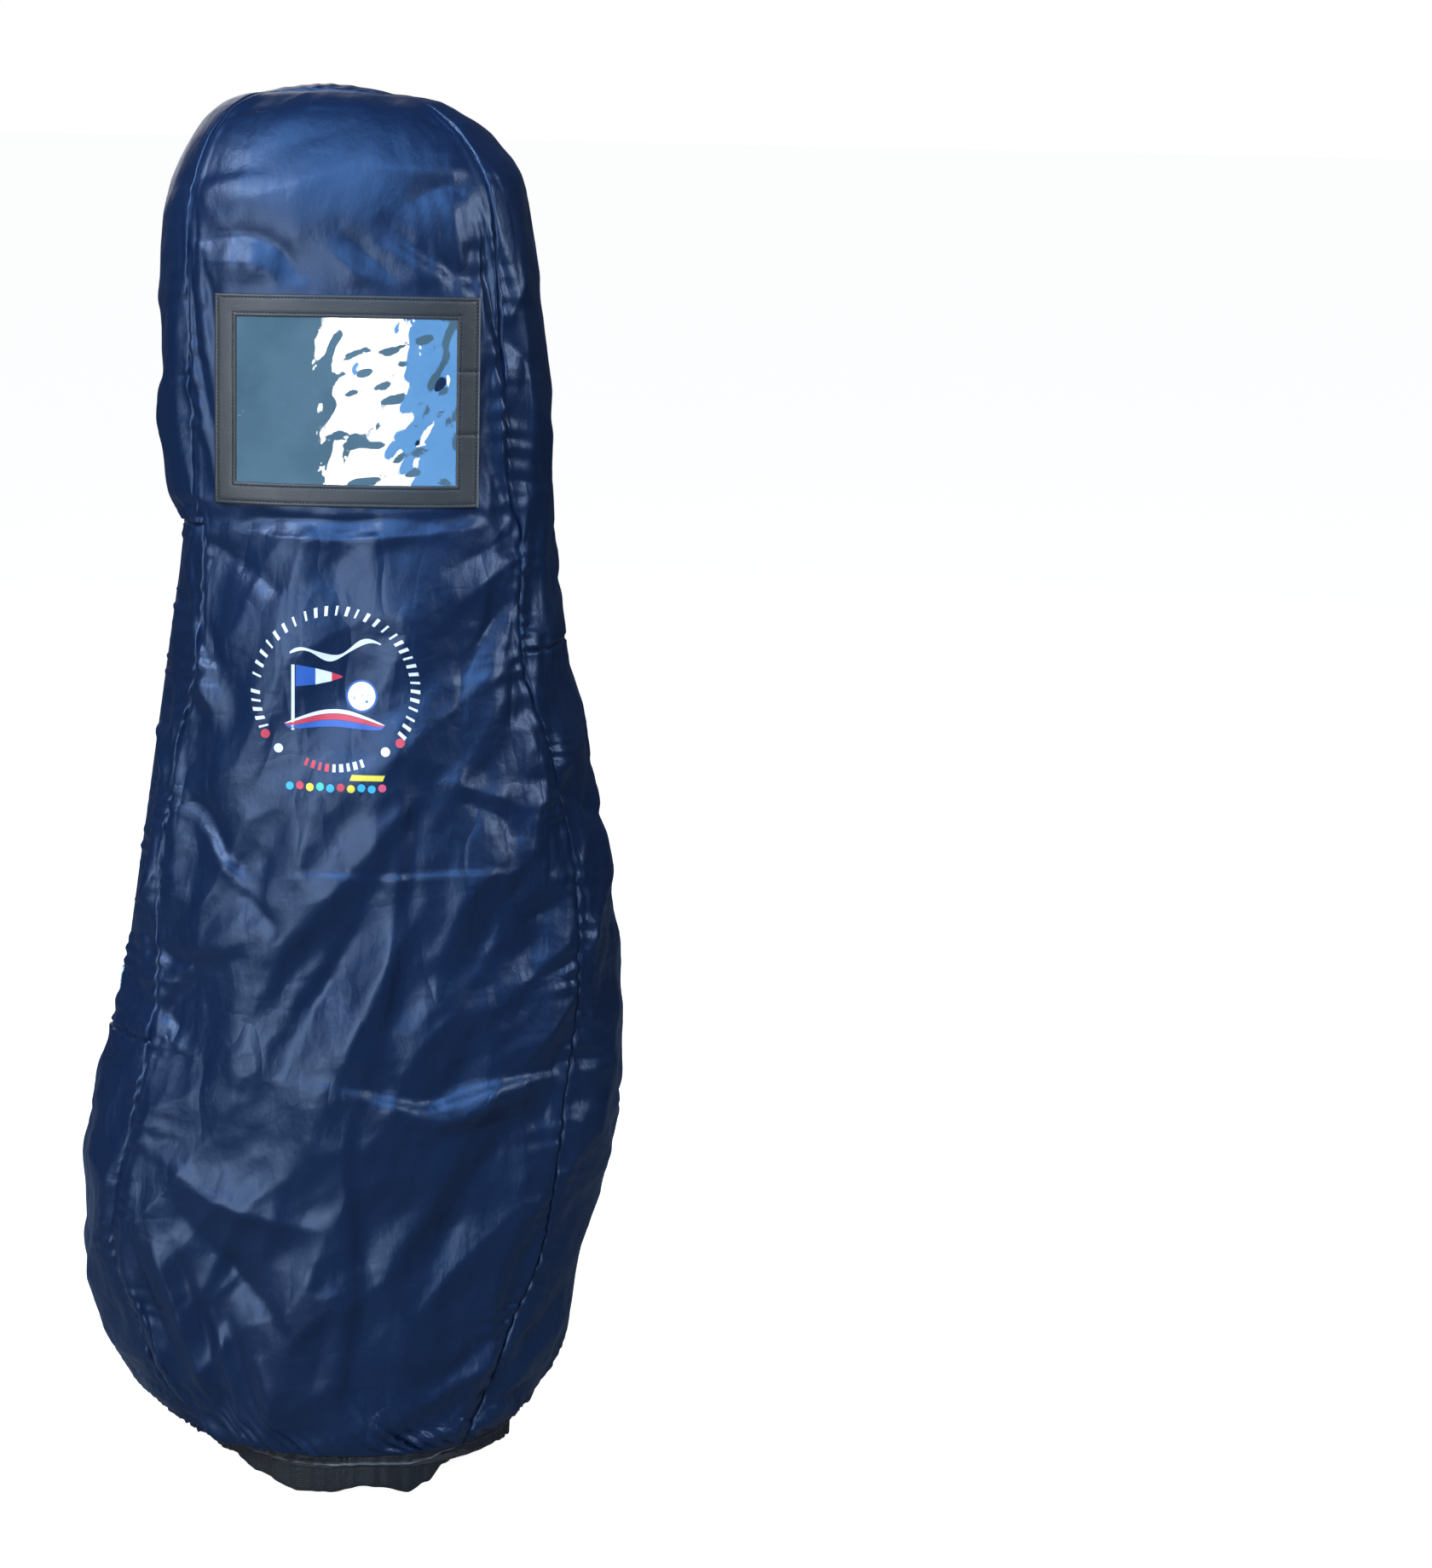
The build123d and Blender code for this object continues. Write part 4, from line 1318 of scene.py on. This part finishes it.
WINDOW_X, WINDOW_Z = (WINDOW[0].x + WINDOW[1].x) / 2, (WINDOW[0].z + WINDOW[1].z) / 2
WINDOW_WIDE, WINDOW_HIGH = WINDOW[1].x - WINDOW[0].x, WINDOW[1].z - WINDOW[0].z
BORDER = 0.0185
FRAME_RISE = 0.0025
PATCH_HALF = 0.026
STITCH_INSET = 0.0030


def lines_across(total):
    """Positions across the frame: close together at its edges and stitch rows."""
    near = [0, 0.0003, 0.0008, 0.0014, 0.0022, 0.0026, 0.0030, 0.0034, 0.0040, 0.0060, 0.0095]
    far = [BORDER - p for p in near][::-1]
    side = sorted(set(round(p, 5) for p in near + far))
    between = np.linspace(BORDER, total - BORDER, 36)[1:-1]
    return np.array(side + list(between) + [total - p for p in side[::-1]])


def frame_height(x, z):
    """How high the leatherette stands at a place on the frame, from its lower left corner."""
    outer = min(x, WINDOW_WIDE - x, z, WINDOW_HIGH - z)
    to_opening = [BORDER - x, x - (WINDOW_WIDE - BORDER), BORDER - z, z - (WINDOW_HIGH - BORDER)]
    inner = max(to_opening)
    edge = min(outer, inner)
    rise = FRAME_RISE - 0.0008 * (1 - min(1, max(edge, 0) / 0.0012)) ** 2
    for row in (outer, inner):
        rise -= 0.00038 * math.exp(-(((row - STITCH_INSET) / 0.0007) ** 2))
    on_right = x > WINDOW_WIDE - BORDER
    for level in (-PATCH_HALF, PATCH_HALF):
        if on_right:
            gap = z - (WINDOW_HIGH / 2 + level)
            rise -= 0.0004 * math.exp(-((gap / 0.0006) ** 2))
    swell = 0.00035 * math.sin(x * 55 + 1) * math.sin(z * 47 + 2)
    return rise + swell * min(1, max(edge, 0) / 0.006)


def make_frame():
    """The leatherette border: its face, and skirts down to the cloth and to the sheet."""
    xs, zs = lines_across(WINDOW_WIDE), lines_across(WINDOW_HIGH)
    levels = [WINDOW_HIGH / 2 + s * PATCH_HALF + d for s in (-1, 1) for d in (-0.001, -0.0004, 0, 0.0004, 0.001)]
    zs = np.array(sorted(set(np.round(np.concatenate([zs, levels]), 6))))
    low_x, low_z = WINDOW_X - WINDOW_WIDE / 2, WINDOW_Z - WINDOW_HIGH / 2
    index, vertices, faces, tints = {}, [], [], []

    def at(i, j, outset=None):
        key = (i, j, outset)
        if key not in index:
            x, z = xs[i], zs[j]
            rise = frame_height(x, z) if outset is None else outset
            bow = 0.0012 * math.sin(x / WINDOW_WIDE * math.pi) * (z / WINDOW_HIGH)
            index[key] = len(vertices)
            vertices.append(front_place(low_x + x, low_z + z + bow, rise)[0])
        return index[key]

    def open_cell(i, j):
        if not (0 <= i < len(xs) - 1 and 0 <= j < len(zs) - 1):
            return True
        x, z = (xs[i] + xs[i + 1]) / 2, (zs[j] + zs[j + 1]) / 2
        return BORDER < x < WINDOW_WIDE - BORDER and BORDER < z < WINDOW_HIGH - BORDER

    for i in range(len(xs) - 1):
        for j in range(len(zs) - 1):
            if open_cell(i, j):
                continue
            faces.append((at(i, j), at(i + 1, j), at(i + 1, j + 1), at(i, j + 1)))
            # the outermost strip on the frame's right side gets the lighter grey: painted highlight
            tints.append(1 if xs[i] > WINDOW_WIDE - 0.0016 else 0)
            sides = (((i, j - 1), (i, j), (i + 1, j)), ((i + 1, j), (i + 1, j), (i + 1, j + 1)))
            sides += (((i, j + 1), (i + 1, j + 1), (i, j + 1)), ((i - 1, j), (i, j + 1), (i, j)))
            for cell, a, b in sides:
                if open_cell(*cell):
                    inside = 0 <= cell[0] < len(xs) - 1 and 0 <= cell[1] < len(zs) - 1
                    depth = 0.0009 if inside else -0.0006
                    faces.append((at(*b), at(*a), at(*a, depth), at(*b, depth)))
                    # the right outer skirt gets the same painted highlight
                    tints.append(1 if i == len(xs) - 2 and cell[0] == len(xs) - 1 else 0)
    made = new_object("window_border", vertices, faces)
    made.data.materials.append(leatherette)
    made.data.materials.append(leather_edge_painted_highlight)
    made.data.polygons.foreach_set("material_index", tints)
    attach(made, "cover")
    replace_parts(made, "window_frame")
    return made


def frame_line(a, b, steps=40):
    """Points and ways out along a straight stitch row on the frame."""
    pairs = []
    for t in np.linspace(0, 1, steps):
        x, z = a[0] + (b[0] - a[0]) * t, a[1] + (b[1] - a[1]) * t
        bow = 0.0012 * math.sin(x / WINDOW_WIDE * math.pi) * (z / WINDOW_HIGH)
        place = (WINDOW_X - WINDOW_WIDE / 2 + x, WINDOW_Z - WINDOW_HIGH / 2 + z + bow)
        pairs.append(front_place(*place, FRAME_RISE - 0.00015))
    return [p for p, _ in pairs], [n for _, n in pairs]


def frame_stitches():
    lines = []
    for inset in (STITCH_INSET, BORDER - STITCH_INSET):
        a, b = inset, WINDOW_WIDE - inset
        c, d = inset, WINDOW_HIGH - inset
        lines += [frame_line((a, c), (b, c)), frame_line((b, c), (b, d))]
        lines += [frame_line((b, d), (a, d)), frame_line((a, d), (a, c))]
    for level in (-PATCH_HALF, PATCH_HALF):
        z = WINDOW_HIGH / 2 + level
        lines.append(frame_line((WINDOW_WIDE - BORDER + 0.001, z), (WINDOW_WIDE - 0.0016, z)))
    made = stitches("window_stitching", lines, thread_black, pitch=0.0031, long=0.0020, thick=0.00042)
    return made


def make_sheet():
    """The clear sheet: soft waves that break up whatever it reflects."""
    wide, high = WINDOW_WIDE - 2 * BORDER + 0.006, WINDOW_HIGH - 2 * BORDER + 0.006
    columns_n, rows_n = 150, 118
    draw = np.random.default_rng(41)
    ripples = []
    for _ in range(44):
        angle = draw.uniform(0, math.pi)
        length = 0.013 * 6 ** draw.uniform(0, 1)
        ripples.append((math.cos(angle), math.sin(angle), length, draw.uniform(0, 6.3)))
    vertices, faces = [], []
    for j in range(rows_n + 1):
        for i in range(columns_n + 1):
            x, z = wide * (i / columns_n - 0.5), high * (j / rows_n - 0.5)
            wave = sum(l * math.sin((x * c + z * s) * 2 * math.pi / l + p) for c, s, l, p in ripples)
            edge = min(i, columns_n - i, j, rows_n - j) / 9
            calm = 0.35 + 0.65 * float(step_up(x, -0.035, 0.005))
            rise = 0.00105 + SHEET_WAVE * wave * min(1, edge) * calm
            vertices.append(front_place(WINDOW_X + x, WINDOW_Z + z, rise)[0])
    for j in range(rows_n):
        for i in range(columns_n):
            k = j * (columns_n + 1) + i
            faces.append((k, k + 1, k + columns_n + 2, k + columns_n + 1))
    made = new_object("window_clear_sheet", vertices, faces)
    made.data.materials.append(clear_pvc)
    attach(made, "cover")
    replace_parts(made, "window_sheet")
    return made


SHEET_WAVE = 0.0027
make_frame()
frame_stitches()
clear_sheet = make_sheet()
for name in ("pocket_hook_patch", "pocket_loop_patch"):
    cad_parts[name].data.materials.clear()
    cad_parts[name].data.materials.append(hook_and_loop)


# ---------------------------------------------------------------- the zip


def zip_place(x, run, height):
    """A point in the zip's own frame: x across towards the front, run up it, height out."""
    return ZIP_LOW + ZIP_UP * run + ZIP_OUT * height + np.array([0, -x, 0])


def coil(name, side):
    """One nylon coil: an oval helix along the zip, leaning in over the middle."""
    turns = int((ZIP_RUN - 0.004) / COIL_PITCH)
    steps, sides = 10, 5
    count = turns * steps
    vertices, faces = [], []
    for k in range(count + 1):
        turn = 2 * math.pi * k / steps
        run = 0.002 + COIL_PITCH * k / steps + side * COIL_PITCH / 4
        across = side * (0.0011 - 0.0016 * math.cos(turn))
        height = -0.0012 + 0.0008 * math.sin(turn)
        centre = zip_place(across, run, height)
        way_x, way_h = side * (-math.cos(turn)), math.sin(turn)
        for j in range(sides):
            spin = 2 * math.pi * j / sides
            radial = math.cos(spin) * COIL_WIRE
            vertices.append(
                centre
                + np.array([0, -way_x * radial, 0])
                + ZIP_OUT * way_h * radial
                + ZIP_UP * math.sin(spin) * COIL_WIRE
            )
    for k in range(count):
        for j in range(sides):
            n = (j + 1) % sides
            faces.append((k * sides + j, k * sides + n, (k + 1) * sides + n, (k + 1) * sides + j))
    made = new_object(name, vertices, faces)
    made.data.materials.append(zip_nylon)
    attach(made, "cover")
    return made


COIL_PITCH = 0.0013
COIL_WIRE = 0.00030
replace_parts(coil("coil_front", 1), "zip_coil_front")
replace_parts(coil("coil_back", -1), "zip_coil_back")


def finish_node(name, material, bevel=None):
    """Gives a CAD node its material and, if asked, softly rounded edges."""
    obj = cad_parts[name]
    obj.data.materials.clear()
    obj.data.materials.append(material)
    if bevel:
        weld = obj.modifiers.new("weld", "WELD")
        weld.merge_threshold = 0.00002
        soft = obj.modifiers.new("rounded", "BEVEL")
        soft.width = bevel
        soft.segments = 3
        soft.limit_method = "ANGLE"
        soft.angle_limit = math.radians(38)
        obj.modifiers.new("shading", "WEIGHTED_NORMAL")


finish_node("zip_tape_front", zip_tape)
finish_node("zip_tape_back", zip_tape)
finish_node("zip_top_stop", zip_nylon, 0.0003)
finish_node("zip_bottom_stop", zip_nylon, 0.0003)
finish_node("zip_slider_upper", zip_slider, 0.0004)
finish_node("zip_slider_lower", zip_slider, 0.0004)
finish_node("zip_pull_upper", zip_pull, 0.0004)
finish_node("zip_pull_lower", zip_pull, 0.0004)


def zip_topstitching():
    """The rows of stitches either side of the zip, on the draped cloth."""
    outs = normals_of(body, True)
    middle = (around[:, SLIT_BACK] + around[:, SLIT_FRONT]) / 2
    lines = []
    rows_used = range(row_at(ZIP_LOW[2] - 0.006), row_at(ZIP_HIGH[2] + 0.004))
    for side in (-1, 1):
        points, ways = [], []
        for r in rows_used:
            target = middle[r] + side * TOPSTITCH
            span = around[r]
            points.append([np.interp(target, span, body[r, :, k]) for k in range(3)])
            ways.append([np.interp(target, span, outs[r, :, k]) for k in range(3)])
        lines.append((np.array(points), np.array(ways)))
    made = stitches("zip_topstitching", lines, thread_navy, pitch=0.0032, long=0.0024, thick=0.0003)


zip_topstitching()


# ---------------------------------------------------------------- the print

PRINT_X, PRINT_Z = -0.015, 0.695
PRINT_SCALE = 0.92
ARC_RADIUS = 0.0727
INK_PROUD = 0.00035
front_tree = BVHTree.FromPolygons(
    [tuple(p) for p in body[:, : FRONT[1] + 1].reshape(-1, 3)],
    [
        (r * (FRONT[1] + 1) + c, r * (FRONT[1] + 1) + c + 1, (r + 1) * (FRONT[1] + 1) + c + 1, (r + 1) * (FRONT[1] + 1) + c)
        for r in range(LAST)
        for c in range(FRONT[1])
    ],
)
ink_points, ink_faces, ink_tints = [], [], []
INK_ORDER = list(INKS)


def lay(shape, across, upward, colour):
    """Lays a printed shape on the cloth: shape gives a place on the front from 0..1, 0..1."""
    base = len(ink_points)
    for j in range(upward + 1):
        for i in range(across + 1):
            x, z = shape(i / across, j / upward)
            x, z = PRINT_X + (x - PRINT_X) * PRINT_SCALE, PRINT_Z + (z - PRINT_Z) * PRINT_SCALE
            hit, out, _, _ = front_tree.ray_cast(Vector((x, -0.5, z)), Vector((0, 1, 0)))
            if out.y > 0:
                out = -out
            ink_points.append(hit + out * INK_PROUD)
    for j in range(upward):
        for i in range(across):
            k = base + j * (across + 1) + i
            ink_faces.append((k, k + 1, k + across + 2, k + across + 1))
            ink_tints.append(INK_ORDER.index(colour))


def arc_block(turn, spread, inner, outer, colour, lean=0.0):
    """A block on a circle round the print's centre; turn is clockwise from the top."""

    def shape(u, v):
        radius = inner + (outer - inner) * v
        angle = math.radians(turn + (u - 0.5) * spread + lean * (v - 0.5))
        return PRINT_X + radius * math.sin(angle), PRINT_Z + radius * math.cos(angle)

    lay(shape, 3, 4, colour)


def box_block(x, z, wide, high, colour, slant=0.0):
    def shape(u, v):
        return PRINT_X + x + (u - 0.5) * wide + slant * (v - 0.5), PRINT_Z + z + (v - 0.5) * high

    lay(shape, max(2, int(wide / 0.003)), max(2, int(high / 0.003)), colour)


def disc(x, z, radius, colour, inner=0.0):
    def shape(u, v):
        r = inner + (radius - inner) * v
        return PRINT_X + x + r * math.cos(2 * math.pi * u), PRINT_Z + z + r * math.sin(2 * math.pi * u)

    lay(shape, 28, 4, colour)


# the ring of ticks, in five groups, where the object has its arc
for first, last, count in ((-117, -92, 5), (-80, -31, 7), (-22, 8, 5), (15, 38, 4), (46, 102, 10), (109, 122, 3)):
    for k in range(count):
        turn = first + (last - first) * k / (count - 1)
        arc_block(turn, 2.5 if k % 3 else 1.6, ARC_RADIUS - 0.0044, ARC_RADIUS + 0.0042, "white", 1.2)


def swash(u, v):
    """A flowing white stroke under the ring's top."""
    x = -0.041 + 0.082 * u
    z = 0.036 + 0.006 * math.sin(2 * math.pi * (1.35 * u + 0.1)) + 0.010 * (u - 0.5)
    thick = 0.0016 + 0.0052 * math.sin(math.pi * u) ** 0.6 * (0.6 + 0.4 * math.cos(5 * math.pi * u))
    return PRINT_X + x, PRINT_Z + z + (v - 0.5) * thick


lay(swash, 40, 3, "white")


def wedge(x0, x1, low0, high0, low1, high1):
    """A four-cornered shape between two upright edges."""

    def shape(u, v):
        low, high = low0 + (low1 - low0) * u, high0 + (high1 - high0) * u
        return PRINT_X + x0 + (x1 - x0) * u, PRINT_Z + low + (high - low) * v

    return shape


# a pennant on its pole, and a ball on a mound
lay(wedge(-0.0395, -0.0365, -0.036, 0.024, -0.036, 0.024), 2, 16, "white")
lay(wedge(-0.0355, -0.0180, 0.004, 0.024, 0.0055, 0.0205), 6, 6, "blue")
lay(wedge(-0.0180, -0.0035, 0.0055, 0.0205, 0.0085, 0.0165), 5, 5, "white")
lay(wedge(-0.0035, 0.0060, 0.0085, 0.0165, 0.0118, 0.0132), 4, 3, "red")


def mound(low, high):
    def shape(u, v):
        x = -0.046 + 0.092 * u
        top = -0.030 + 0.013 * math.sin(math.pi * u)
        return PRINT_X + x, PRINT_Z + top - 0.013 * (low + (high - low) * v) * math.sin(math.pi * u) ** 0.5

    return shape


lay(mound(0.28, 0.0), 30, 2, "white")
lay(mound(0.72, 0.30), 30, 3, "red")
lay(mound(1.2, 0.74), 30, 3, "blue")
disc(0.024, -0.0045, 0.0128, "white")
disc(0.024, -0.0045, 0.0146, "blue", 0.0133)
for angle in range(0, 360, 60):
    spot = math.radians(angle + 15)
    disc(0.024 + 0.0068 * math.cos(spot), -0.0045 + 0.0068 * math.sin(spot), 0.0012, "blue")
disc(0.024, -0.0045, 0.0012, "blue")
for x, z, colour in ((-0.063, -0.040, "red"), (-0.051, -0.053, "white"), (0.047, -0.053, "white"), (0.060, -0.045, "red")):
    disc(x, z, 0.0042, colour)
for k in range(9):
    arc_block(158 + 5.4 * k, 3.2 if k % 2 else 2.4, 0.0655, 0.0725, "red" if k > 4 else "white")
for k, colour in enumerate(("cyan", "red", "yellow", "green", "cyan", "red", "yellow", "cyan", "cyan", "pink")):
    disc(-0.040 + 0.0094 * k, -0.0865 + (0.0010 if k % 2 else 0), 0.0036, colour)
box_block(0.031, -0.0765, 0.030, 0.0052, "yellow", 0.002)

emblem = new_object("cover_print", ink_points, ink_faces)
for name in INK_ORDER:
    emblem.data.materials.append(ink[name])
emblem.data.polygons.foreach_set("material_index", ink_tints)
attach(emblem, "cover")
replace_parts(emblem, "printed_emblem")


# ---------------------------------------------------------------- light, floor and camera

world = scene.world or bpy.data.worlds.new("studio")
scene.world = world
world.use_nodes = True
tree = world.node_tree
tree.nodes.clear()
seen = tree.nodes.new("ShaderNodeBackground")
seen.inputs["Color"].default_value = (1, 1, 1, 1)
seen.inputs["Strength"].default_value = 1.0
lit = tree.nodes.new("ShaderNodeBackground")
lit.inputs["Color"].default_value = (0.80, 0.90, 1.0, 1)
lit.inputs["Strength"].default_value = WORLD_LIGHT
which = tree.nodes.new("ShaderNodeLightPath")
choose = tree.nodes.new("ShaderNodeMixShader")
out = tree.nodes.new("ShaderNodeOutputWorld")
tree.links.new(which.outputs["Is Camera Ray"], choose.inputs[0])
tree.links.new(lit.outputs[0], choose.inputs[1])
tree.links.new(seen.outputs[0], choose.inputs[2])
tree.links.new(choose.outputs[0], out.inputs["Surface"])
scene.view_settings.view_transform = "Standard"

# The floor: a very large disc with a slightly uneven matt finish
floor_mat = principled("studio_floor", (0.82, 0.83, 0.85), 0.8)
link(floor_mat, mixed(floor_mat, noise_of(floor_mat, 1.5), (0.80, 0.81, 0.83), (0.85, 0.86, 0.88)), "Base Color")
pale = floor_mat.node_tree.nodes["Principled BSDF"]
pale.inputs["Emission Color"].default_value = (1, 1, 1, 1)
pale.inputs["Emission Strength"].default_value = FLOOR_GLOW
dull = node(floor_mat, "ShaderNodeBsdfDiffuse", {"Color": (0.22, 0.23, 0.25, 1)})
by_camera = node(floor_mat, "ShaderNodeLightPath").outputs["Is Camera Ray"]
both = node(floor_mat, "ShaderNodeMixShader", {0: by_camera, 1: dull.outputs[0], 2: pale.outputs[0]})
floor_mat.node_tree.links.new(
    both.outputs[0], floor_mat.node_tree.nodes["Material Output"].inputs["Surface"]
)
edge = [(40 * math.cos(2 * math.pi * k / 64), 40 * math.sin(2 * math.pi * k / 64), -0.0006) for k in range(64)]
floor = new_object("studio_floor", edge, [tuple(range(64))], smooth=False)
floor.data.materials.append(floor_mat)


def softbox(name, place, aim, size, power, colour, spread):
    """A soft light at a place, aimed at a point; the camera doesn't see it."""
    data = bpy.data.lights.new(name, "AREA")
    data.shape = "RECTANGLE"
    data.spread = math.radians(spread)
    data.size, data.size_y = size
    data.energy = power
    data.color = colour
    made = bpy.data.objects.new(name, data)
    scene.collection.objects.link(made)
    made.location = place
    made.rotation_euler = (Vector(aim) - Vector(place)).to_track_quat("-Z", "Y").to_euler()
    made.visible_camera = False
    if name.startswith("window"):  # what the clear sheet reflects lights nothing else
        made.light_linking.receiver_collection = sheet_only
    elif name == "front_left":
        made.light_linking.receiver_collection = all_but_sheet
    return made


sheet_only = bpy.data.collections.new("window_sheet_only")
sheet_only.objects.link(clear_sheet)
all_but_sheet = bpy.data.collections.new("all_but_window_sheet")
all_but_sheet.objects.link(clear_sheet)
all_but_sheet.collection_objects[0].light_linking.link_state = "EXCLUDE"
for name, values in LIGHTS.items():
    softbox(name, *values)

lens = bpy.data.cameras.new("camera")
lens.lens = CAMERA_LENS
camera = bpy.data.objects.new("camera", lens)
scene.collection.objects.link(camera)
scene.camera = camera
turn, lift = math.radians(CAMERA_AZIMUTH), math.radians(CAMERA_RISE)
back = Vector((math.sin(turn) * math.cos(lift), -math.cos(turn) * math.cos(lift), math.sin(lift)))
camera.location = Vector(CAMERA_AIM) + back * CAMERA_DISTANCE
look = (-back).to_track_quat("-Z", "Y")
look = Euler((0, 0, math.radians(-CAMERA_PAN))).to_quaternion() @ look
camera.rotation_euler = (look @ Euler((0, 0, math.radians(CAMERA_ROLL))).to_quaternion()).to_euler()
